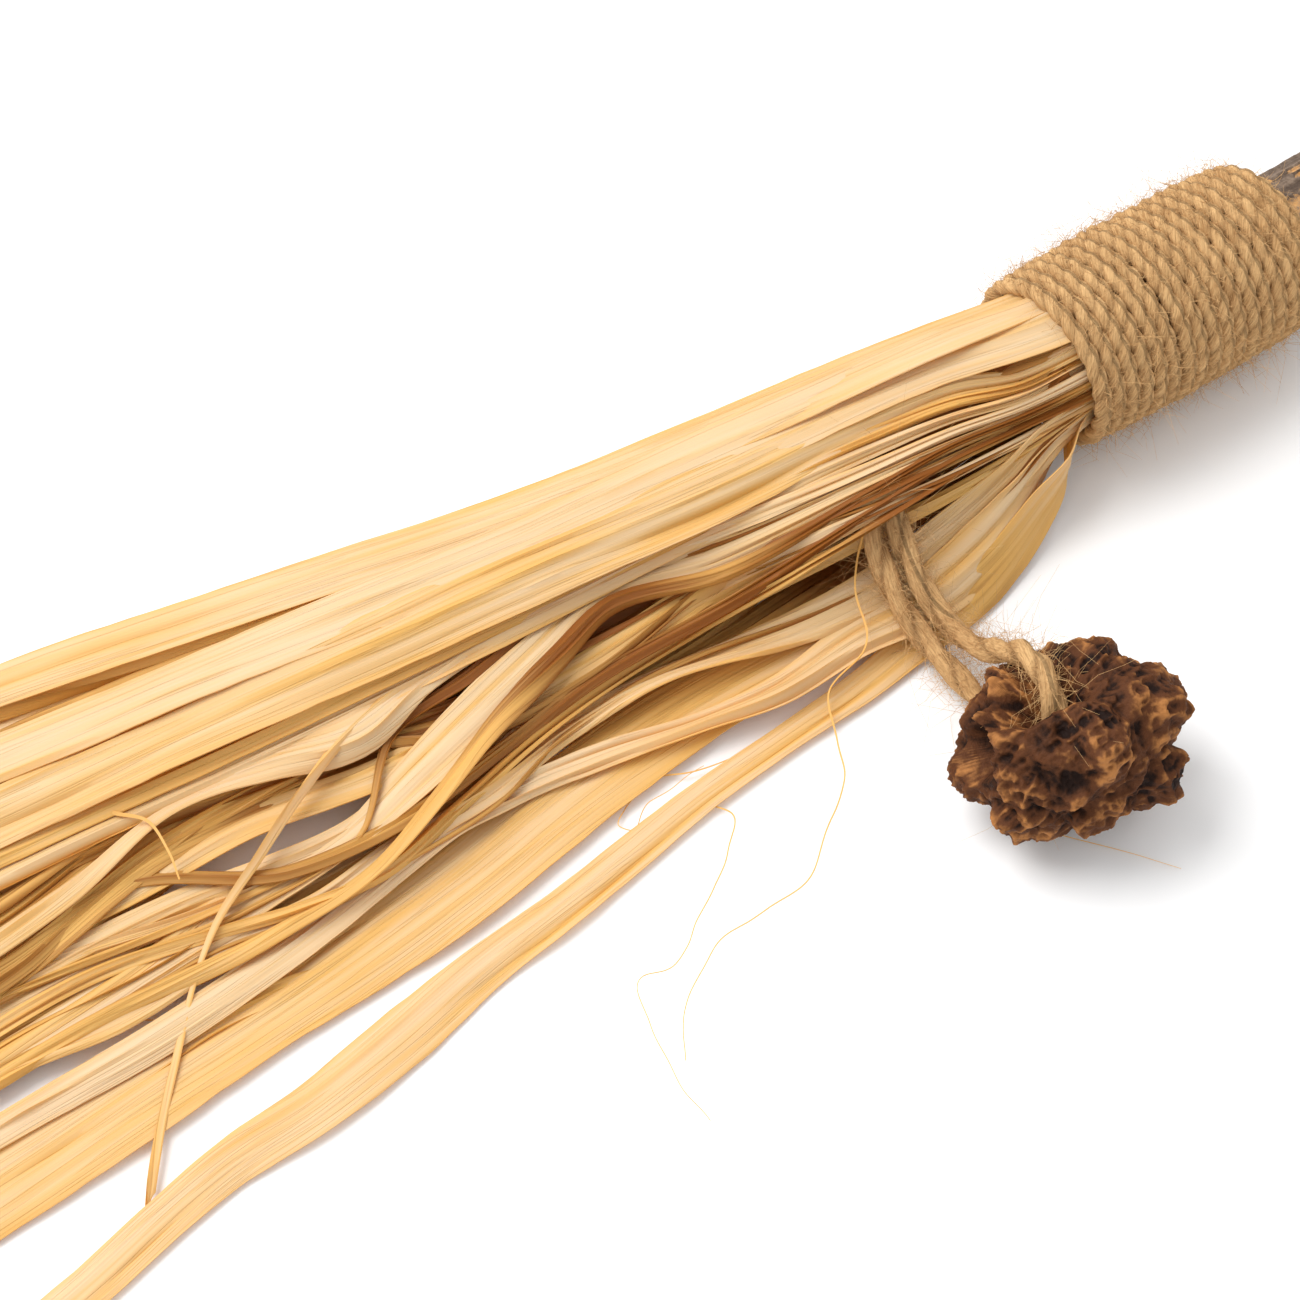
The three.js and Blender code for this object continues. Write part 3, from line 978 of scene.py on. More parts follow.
@dataclass(frozen=True)
class Strip:
    """One strip of raffia.

    Attributes:
        stops: Its route, from the neck to its end: x, y, z, width, tilt in degrees, and added tone, which
            holds the painted shade of hollows and the painted glow by the table.
        lie: How it lies.
        tone: Its colour, from pale at 0 to golden at 1.
        number: Picks its folds and its grain.
    """

    stops: Array
    lie: Lie
    tone: float
    number: int

    THICKNESS = 0.14
    STEP = 1.1
    LOWEST = 0.02
    SEED = 100
    PLEAT_RANGE = 0.8
    PLEAT_WIDTHS = (0.07, 0.16)
    GATHERED = 1.25
    EDGE_WAVES = ((0.10, 22.0, 2), (0.02, 2.3, 3))
    EDGE_SKEW = 0.05
    EDGE_SHADE = 0.3
    RIPPLE = 0.10
    TORN_LENGTH, TORN_DEPTH, TORN_FIBRES, TORN_TAPER = 7.0, 5.0, 7, 0.45

    def surface(self) -> Surface:
        """A thin closed shell over a ribbon.

        Across the ribbon u goes from -1 to 1. A point is the middle, plus u times half the width
        sideways, plus a height upwards: the arch times 1 - u^2, plus a sharp fold exp(-|u - c| / w)
        for each pleat, whose place c wanders along the strip, plus a fine ripple.

        Returns:
            The shell, in layout millimetres.
        """
        noise = Noise(self.SEED + self.number)
        random = np.random.default_rng(self.number)
        habit = self.lie.value
        steps = int(path_lengths(self.stops[:, :3])[-1] / self.STEP)
        path = even_path(self.stops, max(24, steps))
        middle, width, tilt = path[:, :3], path[:, 3:4], np.radians(path[:, 4])
        along = path_lengths(middle)
        loose = smoothstep(along, 8, 40)
        tilt = tilt + habit.sway * loose * noise.along(along / 21, 1) * 1.6
        run = unit(np.gradient(middle, axis=0))
        side = np.stack([np.zeros_like(tilt), np.cos(tilt), -np.sin(tilt)], axis=-1)
        side = unit(side - run * np.sum(side * run, axis=-1, keepdims=True))
        up = np.cross(side, run)
        columns = int(np.clip(4 + 2.6 * width.max(), 7, 19))
        across = np.linspace(-1, 1, columns)[None, :]
        waves = (size * noise.along(along / pitch, row)[:, None] for size, pitch, row in self.EDGE_WAVES)
        ragged = sum(waves, 1.0) + self.EDGE_SKEW * np.sign(across) * noise.along(along / 14, 4)[:, None]
        sideways = across * width / 2 * ragged
        height = habit.arch * width * (1 - across**2)
        # Painted shade: the tone is darkened towards the strip's edges and along each pleat's fold.
        painted_edge_and_fold_shade = np.broadcast_to(self.EDGE_SHADE * smoothstep(np.abs(across), 0.72, 1.0), height.shape)
        gathered = mix(self.GATHERED, 1.0, loose)[:, None]
        for fold, rise in self._pleats(along, across, noise, random):
            painted_edge_and_fold_shade = painted_edge_and_fold_shade + fold
            height = height + rise * gathered
        grid = np.broadcast_to(along[:, None], sideways.shape)
        ripple = noise.at(np.stack([grid / 24, sideways / 0.8, np.full_like(grid, 3.3)], axis=-1))
        height = height + self.RIPPLE * ripple * gathered
        # The end is torn: each fibre stops somewhere else.
        fibres = random.uniform(0, 1, self.TORN_FIBRES)
        torn = np.interp(np.linspace(0, 1, columns), np.linspace(0, 1, self.TORN_FIBRES), fibres)
        ending = smoothstep(along, along[-1] - self.TORN_LENGTH, along[-1])[:, None]
        sideways = sideways * (1 - self.TORN_TAPER * ending)
        surface = (
            middle[:, None, :]
            + side[:, None, :] * sideways[..., None]
            + up[:, None, :] * height[..., None]
            + run[:, None, :] * (ending**2 * self.TORN_DEPTH * (torn - 0.5)[None, :])[..., None]
        )
        half = self.THICKNESS / 2 * up[:, None, :]
        rings = np.concatenate([surface + half, (surface - half)[:, ::-1]], axis=1)
        rings[..., 2] = np.maximum(rings[..., 2], self.LOWEST)
        distance = np.concatenate([sideways, sideways[:, ::-1]], axis=1)
        far = np.broadcast_to(along[:, None], distance.shape)
        grain = np.stack([far, distance, np.full_like(distance, self.number)], axis=-1)
        # The tone adds the spots' painted light, and the painted shade of the edges and folds.
        tones = self.tone + path[:, 5:] + np.concatenate([painted_edge_and_fold_shade, painted_edge_and_fold_shade[:, ::-1]], axis=1)
        shell = Surface.rings(rings, grain, tones, capped=False)
        shell.caps = self._end_caps(len(path), columns)
        return shell

    def _pleats(
        self, along: Array, across: Array, noise: Noise, random: np.random.Generator
    ) -> Iterator[tuple[Array, Array]]:
        """The strip's pleats, one by one.

        Args:
            along: The distance along the strip, one value a row.
            across: The place across it from -1 to 1, one value a column.
            noise: Moves each pleat from side to side and makes it stronger and weaker.
            random: Picks each one's place, width and way.

        Yields:
            The painted shade that darkens the strip along a pleat's fold, and how far the pleat raises it,
            both by row and column.
        """
        habit = self.lie.value
        for pleat in range(habit.pleats):
            share = (pleat + random.uniform(0.2, 0.8)) / habit.pleats
            place = mix(-self.PLEAT_RANGE, self.PLEAT_RANGE, share)
            place = place + 0.3 * noise.along(along / 30, 10 + pleat)[:, None]
            strength = 0.35 + noise.along(along / 17, 20 + pleat)[:, None]
            fold = np.exp(-np.abs(across - place) / random.uniform(*self.PLEAT_WIDTHS))
            yield 0.5 * np.clip(strength, 0, 1) * fold, habit.depth * random.choice([-1, 1]) * strength * fold

    @staticmethod
    def _end_caps(rows: int, columns: int) -> list[list[int]]:
        """The faces between the top's and the bottom's ends."""
        column = np.arange(columns - 1)
        under = 2 * columns - 1 - column
        start = np.stack([column, under, under - 1, column + 1], axis=-1)
        end = start[:, ::-1] + (rows - 1) * 2 * columns
        return start.tolist() + end.tolist()


@dataclass(frozen=True)
class Split:
    """How a strip that follows a route differs from it.

    Attributes:
        width: Its width as a share of the route's, between two bounds.
        slide: How far to one side it lies, at most.
        wave: How far it swings from side to side.
        lift: How much higher it lies.
        lies: The ways in which it may lie.
    """

    width: tuple[float, float]
    slide: float
    wave: float
    lift: float
    lies: tuple[Lie, ...]


WHOLE = Split((0.85, 1.1), 1.2, 0.9, 0.0, (Lie.FLAT, Lie.PLEATED, Lie.PLEATED))
HALF = Split((0.4, 0.8), 3.0, 1.3, 0.1, (Lie.PLEATED, Lie.ROLLED))
NARROW = Split((0.3, 0.55), 3.4, 1.0, 0.4, (Lie.PLEATED, Lie.ROLLED))
SLIVER = Split((0.14, 0.34), 3.8, 1.2, 0.6, (Lie.ROLLED,))


@dataclass(frozen=True)
class Led:
    """A strip with a route of its own, from a place on the neck's ring.

    Attributes:
        node: The CAD strip that it stands for.
        angle: Its place on the ring, in degrees from straight up towards +y.
        width: Its width at the neck.
        tone: Its colour.
        lie: How it lies.
        stops: Its route from there.
        radius: How far it is from the axis at the neck.
        tied: Whether it starts inside the binding.
        partners: The strips that split off it.
    """

    node: str
    angle: float
    width: float
    tone: float
    lie: Lie
    stops: Sequence[tuple[float, float, float, float, float]]
    radius: float = RING_RADIUS
    tied: bool = True
    partners: tuple[Split, ...] = ()


LED = [
    Led("raffia_top_5", 24, 6.0, 0.4, Lie.FLAT, [
        (-9, 4.8, 16.4, 6.2, 20), (-28, 9.8, 12.4, 6, 10), (-51, 15, 9.9, 5, 8), (-74, 21, 8.6, 4.6, 0),
        (-100, 28, 6.5, 4.6, 0), (-128, 34, 4, 4.4, 0), (-150, 37, 2.4, 4, 0),
    ], 7.5, partners=(WHOLE, HALF)),
    Led("raffia_top_4", -4, 6.4, 0.2, Lie.FLAT, [
        (-10, 3, 16, 6.4, -3), (-30, 7.5, 12.7, 6.4, 0), (-54, 11.3, 10.5, 6, -5), (-77, 15.7, 8.9, 5.6, 5),
        (-104, 20.7, 6.9, 5.2, 0), (-130, 25.5, 5, 4.6, 0), (-152, 29, 3.5, 4, 0),
    ], 7.7, partners=(WHOLE, WHOLE)),
    Led("raffia_top_3", -34, 1.6, 0.5, Lie.PLEATED, [
        (-3.6, -3, 15.2, 1.6, -28), (-10.7, 0, 14.9, 2.2, -24), (-18.4, 2.2, 13.4, 3.2, -20),
        (-33, 4.6, 11.7, 5.4, -16), (-56, 8.4, 9.8, 7, -12), (-76, 11, 8.7, 7, -10),
        (-100, 14.4, 6.9, 6.6, -5), (-130, 18.5, 4.6, 5, 0), (-154, 21, 3.2, 4, 0),
    ], 7.4),
    Led("raffia_top_2", -42, 1.2, 0.9, Lie.PLEATED, [
        (-4.1, -3.9, 14.8, 1.1, -35), (-11.6, -1.2, 14.5, 1.2, -30), (-19.3, 1, 12.9, 1.6, -28),
        (-45, 5.2, 8.9, 3, -25), (-60, 6.9, 8.1, 3.4, -20), (-80, 8.8, 7.1, 3, -15),
        (-105, 12.2, 5.6, 3, 0), (-140, 16, 3.4, 3, 0),
    ], 6.6, partners=(SLIVER,)),
    Led("raffia_top_1", -49, 1.1, 0.4, Lie.PLEATED, [
        (-4.6, -4.6, 14.4, 1, -42), (-12.4, -2.4, 14, 1, -36), (-20.3, -0.3, 12.5, 1.4, -30),
        (-45, 4.2, 8.2, 2.4, -25), (-60, 5.6, 7.4, 2.8, -20), (-80, 7.4, 6.5, 2.6, -15),
        (-105, 10.4, 5, 2.8, 0), (-144, 13, 3, 3, 0),
    ], 6.6, partners=(SLIVER,)),
    Led("raffia_high_middle_1", -57, 1.2, 0.2, Lie.ROLLED, [
        (-5, -5.2, 13.7, 1.1, -50), (-13.2, -3.4, 13.4, 1, -42), (-21.3, -1.6, 12, 1.4, -35),
        (-38, 3, 8.4, 2.4, -20), (-51, 6, 7.3, 2.2, 30), (-58, 6.6, 6.8, 3.2, 10),
        (-68.5, 5.4, 6.3, 2.2, 50), (-76.7, 4.6, 5.8, 4.2, 0), (-85, 6.7, 5.2, 3.6, -10),
        (-95, 7.9, 4.6, 3, 20), (-107, 6.1, 4, 3.5, 0), (-125, 5, 3, 3.5, 0), (-146, 5, 1.8, 3, 0),
    ], 7.3, partners=(HALF, SLIVER)),
    Led("raffia_low_inner_2", -65, 1.3, 0.3, Lie.FLAT, [
        (-5.4, -5.7, 13, 1.1, -56), (-14, -4.4, 12.8, 1.1, -48), (-22.2, -2.8, 11.5, 1.5, -38),
        (-38, 0.9, 7.8, 3, -20), (-50, 4, 6.9, 3.8, 0), (-56, 2.2, 6.6, 4.6, -10),
        (-64, 0.4, 5.9, 5.2, -12), (-73, -1.5, 4.8, 4.4, -5), (-82, -3.2, 3.4, 3.4, 10),
        (-94, -3.4, 2.4, 3.6, 0), (-110, -3.8, 1.9, 3.4, 0), (-135, -4, 1.4, 3, 0),
    ], 7.2, partners=(NARROW, SLIVER)),
    Led("raffia_low_inner_3", -74, 1.2, 0.6, Lie.PLEATED, [
        (-5.7, -6.2, 12.2, 1, -62), (-14.6, -5.4, 12.1, 1, -52), (-23.2, -4.2, 11.2, 1.3, -40),
        (-38, -0.9, 6.4, 2.8, -12), (-55, -0.9, 4.8, 3, 5), (-65, -0.4, 4.4, 2.6, -20),
        (-77, 0.9, 3.9, 3.2, 0), (-89, 3.5, 3.4, 3.6, 10), (-103, 4.1, 2.9, 3.2, 0),
        (-114, 5.2, 2.8, 3, -10), (-140, 7, 2, 3, 0),
    ], 7.3, partners=(HALF, NARROW, SLIVER)),
    Led("raffia_low_middle_2", -83, 1.2, 0.3, Lie.PLEATED, [
        (-6, -6.8, 11.2, 1, -68), (-15.2, -6.4, 11.2, 1, -58), (-24.3, -5.4, 10.8, 1.3, -45),
        (-33, -3, 7.6, 2.2, -20), (-43, -0.9, 4.4, 3, 0), (-61, -1.1, 3.7, 3, 10),
        (-72, -1.5, 3.2, 3.4, -10), (-82, -2.7, 2.7, 3.4, 0), (-90, -1.8, 2.6, 3.4, 5),
        (-98, -0.2, 2.3, 3.4, 0), (-108, 0.8, 2, 3.8, 0), (-130, 2, 1.4, 3.4, 0),
    ], 7.2, partners=(HALF, NARROW, SLIVER)),
    Led("raffia_low_middle_3", -90, 1.3, 0.8, Lie.ROLLED, [
        (-6.6, -7.2, 10, 1.2, -70), (-15, -6.6, 8.6, 1.4, -58), (-26, -4.2, 5.6, 1.6, -40),
        (-43, -1.8, 3.2, 2.2, 0), (-62, -2, 2.7, 2.2, 0), (-78, -2.6, 2.2, 2, 10), (-85, -1.8, 2.2, 2, 0),
        (-95, -1.5, 1.8, 2.6, 0), (-102, -3, 1.5, 3, 0), (-119, -4.3, 1.2, 3, 0), (-140, -5, 0.9, 3, 0),
    ], 7.0, partners=(NARROW,)),
    Led("raffia_low_middle_3", -92, 1.3, 0.6, Lie.ROLLED, [
        (-70, 6.5, 6.6, 0.8, 0), (-77.8, 4.6, 6.6, 1, 0), (-84.5, 2, 5.6, 1, 10),
        (-90.7, -0.9, 4.4, 0.9, 0), (-97.7, -4.3, 3.2, 1, 0), (-101.2, -6.9, 2.2, 0.8, 0),
        (-106.4, -12.2, 1.2, 1, 0), (-111.7, -18, 0.9, 0.8, 0), (-116.3, -23.6, 0.5, 1.2, 0),
    ], tied=False),
    Led("raffia_table_2", -120, 1.6, 0.9, Lie.ROLLED, [
        (-110, -11.8, 1, 2.2, 0), (-102, -11.6, 1.2, 2, 10), (-94.1, -12.4, 0.9, 2.2, 0),
        (-91.2, -13.1, 0.7, 2, 10), (-89.3, -13.9, 0.6, 1.8, 0), (-86.6, -14.8, 0.5, 1.6, 0),
    ], tied=False),
    Led("raffia_low_inner_1", -98, 4.2, 0.3, Lie.PLEATED, [
        (-3.3, -7.3, 9.8, 4.4, -80), (-8.8, -8.3, 7.8, 4.8, -68), (-15, -8.8, 5.6, 5.2, -48),
        (-22, -9, 4, 5, -25), (-31, -8.2, 3.2, 4.2, -12), (-52, -4.8, 3.1, 3, 10),
        (-60, -4.6, 2.7, 2.6, -20), (-69, -6.3, 2.6, 2.8, 10), (-79, -6.4, 2.6, 2.6, 0),
        (-88, -7.2, 2.3, 2.4, -10), (-98, -6.2, 2.1, 2.8, 0), (-110, -6.4, 1.8, 3.2, 0),
        (-119, -4.8, 1.6, 3, 0), (-142, -3, 1, 3, 0),
    ], 6.9, partners=(SLIVER,)),
    Led("raffia_low_middle_1", -110, 5.0, 0.12, Lie.PLEATED, [
        (-4.7, -8.1, 7.2, 5, -88), (-9.1, -9.8, 5.6, 5.6, -68), (-16.2, -11.6, 3.8, 5.8, -42),
        (-22.6, -12.3, 3, 5, -25), (-30, -11.8, 2.6, 4, -10), (-40, -12.2, 2.4, 3.2, 0),
        (-48, -10.9, 2.4, 2.6, 15), (-58, -8.6, 2.3, 2.8, -10), (-66.5, -7.3, 2.2, 2.4, -30),
        (-73, -7.4, 2.2, 2.6, 20), (-80, -7.7, 2.1, 3, 0), (-90, -9.1, 1.9, 3.2, 0),
        (-104, -10.2, 1.6, 3.4, 0), (-122, -10, 1.2, 3.2, 0), (-146, -10.5, 0.8, 3, 0),
    ], 7.4),
    Led("raffia_table_2", -122, 4.0, 0.55, Lie.FLAT, [
        (-8, -8.8, 4.6, 4.4, -80), (-18, -10.2, 2.6, 5, -30), (-28, -10.2, 1.9, 6, -10),
        (-37, -9.2, 1.5, 7, 0), (-48, -8.8, 1.2, 8, 0), (-62, -9.8, 1, 9, 0), (-76, -12, 0.8, 9, 3),
        (-88.5, -13.2, 0.7, 8, -3), (-99, -13.9, 0.7, 7, 0), (-112, -14.4, 0.7, 7.5, 0),
        (-125, -15.1, 0.7, 7, 0), (-148, -16, 0.7, 6, 0),
    ], 6.9),
    Led("raffia_table_1", -116, 5.0, 0.4, Lie.FLAT, [
        (-2.4, -9.2, 6, 5.4, -92), (-7, -10.9, 4.2, 5.4, -70), (-15.3, -13.4, 2.3, 4.8, -48),
        (-20, -14.1, 1.5, 4.2, -30), (-25, -14.6, 1, 3.8, -15), (-32, -15.6, 0.8, 3.4, -5),
        (-41.5, -16.2, 0.7, 3, 0), (-52, -17, 0.7, 3.2, 0), (-61, -18.3, 0.7, 3.6, 0),
        (-70, -19.6, 0.8, 4, 8), (-79, -20.6, 0.8, 4.2, -8), (-89, -22.4, 0.7, 5.6, 0),
        (-99, -23.9, 0.8, 5.4, 6), (-109, -24.3, 0.8, 4.6, -6), (-116, -25.5, 0.7, 4.4, 0),
        (-124, -27.3, 0.7, 4.2, 0), (-150, -31, 0.6, 4, 0),
    ], 7.5),
]

# The led strips that lie over the strips laid by rule.
UPPER_STRIPS = (
    "raffia_top_5", "raffia_top_4", "raffia_top_3", "raffia_top_2", "raffia_top_1",
    "raffia_high_middle_1", "raffia_low_inner_2", "raffia_low_inner_3",
)

# How far the partners of the upper layers lie below their led strip.
PARTNER_DROP = 1.1


@dataclass(frozen=True)
class Spot:
    """A spot of painted light in the strips' tone, which darkens them in the hollows and makes them golden by
    the table: its strength, and its middle and reach over the table.
    """

    strength: float
    x: float
    y: float
    reach_x: float
    reach_y: float

    def at(self, route: Array) -> Array:
        """The tone that it adds: strength exp(-(dx / reach_x)^2 - (dy / reach_y)^2)."""
        along, beside = (route[:, 0] - self.x) / self.reach_x, (route[:, 1] - self.y) / self.reach_y
        return self.strength * np.exp(-(along**2) - beside**2)


# Painted shade: strips are darkened to brown in the bundle's hollows, at the neck and under the wide band.
SHADED_HOLLOWS = (Spot(2.6, -14.0, -2.0, 14.0, 6.0), Spot(1.3, -54.0, 4.0, 24.0, 6.0))
# Painted glow: led strips near the table are made golden, as light through thin strips over the white table.
GLOW_SPOTS = (Spot(1.1, -8.0, -15.0, 16.0, 4.0), Spot(0.4, -45.0, -10.0, 12.0, 4.0))

# Each loose thread: its radius, and the places that it goes through.
THREADS = {
    "long_hair": (0.09, [
        (-51.6, -18.5, 0.5), (-50.7, -20, 0.5), (-53.5, -23, 0.4), (-60, -27.7, 0.4), (-64.9, -30.1, 0.4),
        (-67.7, -29.4, 0.4), (-69.9, -33.6, 0.4), (-71.2, -40.2, 0.4), (-71.3, -45, 0.3),
    ]),
    "golden_hair": (0.13, [
        (-24.6, -5.1, 9), (-27.9, -8.5, 5.5), (-30.6, -13.9, 3.5), (-35.6, -14.9, 2), (-38, -19.4, 1),
        (-39.7, -22.9, 0.8), (-44.9, -26.6, 0.6), (-49.5, -29.8, 0.5), (-54.3, -30, 0.4),
        (-60.5, -30.7, 0.4), (-66.7, -34.6, 0.4), (-69.8, -38.7, 0.3),
    ]),
    "short_hair": (0.1, [
        (-53.9, -12.7, 0.6), (-51.3, -13.9, 0.6), (-46.8, -14.9, 0.6), (-42.7, -15, 0.6),
    ]),
    "curled_hair": (0.08, [
        (-53.9, -12.7, 0.6), (-58.8, -13.9, 0.5), (-60.5, -15.2, 0.5), (-59.7, -16.3, 0.5),
        (-56.3, -14.4, 0.5), (-53.4, -14.4, 0.5), (-49.8, -14.2, 0.5),
    ]),
    "fruit_hair": (0.06, [
        (-28.4, -38.1, 0.6), (-26.2, -40.7, 0.4), (-22.4, -45.6, 0.3), (-20.2, -49, 0.3),
    ]),
    "outer_hair": (0.1, [
        (-115.9, 1.9, 0.5), (-113.2, -0.6, 0.5), (-108.4, 0.4, 0.6), (-105.7, -1.3, 0.8), (-105.1, -4.8, 1),
    ]),
    "gap_hair": (0.09, [
        (-109.6, -5.1, 0.5), (-107, -7.8, 0.4), (-104.2, -9.2, 0.4), (-101.3, -9.7, 0.5),
    ]),
    "bent_thread": (0.22, [
        (-99.4, 10.1, 6), (-97.3, 7.3, 6), (-97.4, 4, 5.5), (-97.9, 1.1, 5),
    ]),
}


@dataclass(frozen=True)
class LayerLook:
    """How a layer's strips look.

    Attributes:
        tone: Their mean colour; the inner layers' browner tones are partly painted shade under the strips
            over them.
        sunk: How far they are drawn down and back under the led strips.
        splits: The strips that follow each CAD strip.
    """

    tone: float
    sunk: float
    splits: tuple[Split, ...]


class Layer(Enum):
    """The tassel's layers, from the table up, by the start of their nodes' names."""

    # The inner layers are browner partly as painted shade under the strips over them.
    TABLE = LayerLook(0.75, 0.0, (WHOLE, HALF, NARROW))
    LOW_MIDDLE = LayerLook(1.1, 0.0, (WHOLE, HALF, NARROW, SLIVER))
    LOW_INNER = LayerLook(1.25, 0.0, (WHOLE, HALF, NARROW, SLIVER))
    HIGH_INNER = LayerLook(1.3, 2.0, (WHOLE, HALF, SLIVER))
    HIGH_MIDDLE = LayerLook(1.1, 1.6, (WHOLE, HALF, SLIVER))
    TOP = LayerLook(1.0, 0.8, (WHOLE, HALF))

    @classmethod
    def of(cls, node: str) -> "Layer":
        """The layer of a CAD strip."""
        return next(layer for layer in cls if node.startswith("raffia_" + layer.name.lower()))


@dataclass
class Tassel:
    """The raffia strips, each with split-off companions, and the loose threads between them."""

    workshop: Workshop
    binding: Binding

    SEED = 31000
    TIED_STARTS = ((12.0, 0.8), (0.5, 0.25))
    HELD_DEPTH = 1.5
    BARE_START, BARE_LENGTH, BARE_HALF_WIDTH = 62.0, 50.0, 4.4
    BARE_MIDDLE = (-0.6, 2.6)
    LEAD_NUMBERS, PARTNER_NUMBERS, LAID_NUMBERS = 300, 1000, 40
    BROWNEST, TONE_SPREAD = 1.8, 0.3
    SWING_PITCHES, RISE_SPREAD, TILT_SPREAD = (40, 75), 0.35, 14
    THREAD_SEED, THREAD_WOBBLE, THREAD_TONE, THREAD_TIP = 60, 0.35, 0.9, 0.45

    @staticmethod
    def shaded(route: Array, spots: Sequence[Spot]) -> Array:
        """A route's stops, with the painted shade and glow that some spots add to the tone as a last column.
        """
        return np.column_stack([route, sum(spot.at(route) for spot in spots)])

    def led_route(self, led: Led) -> Array:
        """The stops of a strip with a route of its own; a tied one starts inside the binding."""
        angle = math.radians(led.angle)
        start = []
        for x, inset in self.TIED_STARTS:
            radius = led.radius - inset
            height = float(self.binding.axis(x)) + radius * math.cos(angle)
            start.append((x, radius * math.sin(angle), height, led.width, led.angle))
        return np.array((start if led.tied else []) + list(led.stops), float)

    @cached_property
    def upper_strips(self) -> Array:
        """Points along the led strips that lie over others: x, y, z, width and tilt."""
        upper = [led for led in LED if led.node in UPPER_STRIPS]
        return np.concatenate([even_path(self.led_route(led), 60) for led in upper])

    def held_under(self, route: Array) -> Array:
        """The heights of a route that is kept below the led strips over it.

        The height of the led strips over a place is their mean, each point of theirs weighed by exp
        of minus the square of its distance along x plus that of its distance beyond its strip's edge.

        Args:
            route: Stops, with x, y and z first.

        Returns:
            The route's heights, lowered where they would come through.
        """
        x, y, z, width = self.upper_strips[:, :4].T
        along = (route[:, None, 0] - x) / 4
        beside = np.maximum(np.abs(route[:, None, 1] - y) - width / 2, 0) / 1.5
        weight = np.exp(-(along**2) - beside**2)
        height = (weight @ z) / np.maximum(weight.sum(axis=1), 1e-9) - self.HELD_DEPTH
        share = np.clip(weight.sum(axis=1) / 1.5, 0, 1) * smoothstep(-route[:, 0], 0, 6)
        return mix(route[:, 2], np.minimum(route[:, 2], height), share)

    def parted(self, route: Array) -> Array:
        """The y of a route that flows round the bare spot between the middle strips and the lowest.

        The distance from the spot's middle line grows from d to sqrt(d^2 + w^2), where w is half the
        spot's width at that x.
        """
        share = np.clip((-route[:, 0] - self.BARE_START) / self.BARE_LENGTH, 0, 1)
        middle = mix(*self.BARE_MIDDLE, share)
        half = self.BARE_HALF_WIDTH * np.sin(np.pi * share) ** 0.8
        away = route[:, 1] - middle
        return middle + np.where(away < 0, -1, 1) * np.sqrt(away**2 + half**2)

    def split_off(self, route: Array, split: Split, tone: float, number: int, sunk: float = 0.0) -> Strip:
        """A strip that follows a route more or less closely.

        Args:
            route: The stops that it follows.
            split: How it differs from them.
            tone: Its mean colour.
            number: Its number, which also picks how it differs.
            sunk: How far it is drawn down and back under the strips above it.

        Returns:
            The strip.
        """
        random = np.random.default_rng(self.SEED + number)
        own = route.copy()
        down = -own[:, 0]
        loose = smoothstep(down, 12, 45)
        covered = smoothstep(down, 4, 18) * (1 - smoothstep(down, 60, 110)) * sunk
        pitch, phase = random.uniform(*self.SWING_PITCHES), random.random()
        own[:, 1] += loose * random.uniform(-1, 1) * split.slide
        own[:, 1] += loose * split.wave * np.sin(2 * np.pi * (down / pitch + phase))
        own[:, 1] += covered * np.clip((6 - own[:, 1]) / 4, 0, 1)
        rise = random.uniform(-self.RISE_SPREAD, self.RISE_SPREAD) + (0.0 if sunk else split.lift)
        own[:, 2] += loose * rise - covered * 0.3
        if sunk:
            own[:, 2] = self.held_under(own)
        else:
            own[:, 1] = self.parted(own)
        own[:, 4] += loose * random.uniform(-self.TILT_SPREAD, self.TILT_SPREAD)
        own[:, 3] *= random.uniform(*split.width)
        own = own[: len(own) - random.integers(0, 3)] if len(own) > 20 else own
        colour = float(np.clip(random.normal(tone, self.TONE_SPREAD), 0, self.BROWNEST))
        # Painted shade in the bundle's hollows is added to the tone.
        return Strip(self.shaded(own, SHADED_HOLLOWS), random.choice(split.lies), colour, number)

    def laid_route(self, node: str) -> Array:
        """The route of a CAD strip, read from its own solid.

        At each station along x the solid has four corners: the route is their mean, the side is the
        way in which they lie furthest apart, and the width is how far.

        Args:
            node: The CAD strip.

        Returns:
            Its stops.
        """
        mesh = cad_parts[node].data
        flat = np.empty(len(mesh.vertices) * 3)
        mesh.vertices.foreach_get("co", flat)
        corners = np.unique(self.workshop.layout.read(flat.reshape(-1, 3)).round(2), axis=0)
        stops = []
        for x in np.unique(corners[:, 0].round(1))[::-1]:
            ring = corners[np.abs(corners[:, 0] - x) < 0.08]
            if x > 12.5 or len(ring) < 4:
                continue
            middle = ring.mean(axis=0)
            side = np.linalg.svd(ring - middle)[2][0]
            side = side * np.sign(side[1])
            spread = (ring - middle) @ side
            tilt = math.degrees(math.atan2(-side[2], side[1]))
            stops.append((*middle, float(spread.max() - spread.min()), tilt))
        return np.array(stops)

    def strips(self, node: str, number: int) -> list[Strip]:
        """The strips that stand for a CAD strip: one on its place, or led, and those split off it."""
        look = Layer.of(node).value
        made = []
        for led in LED:
            if led.node != node:
                continue
            route = self.led_route(led)
            own = number + self.LEAD_NUMBERS * len(made)
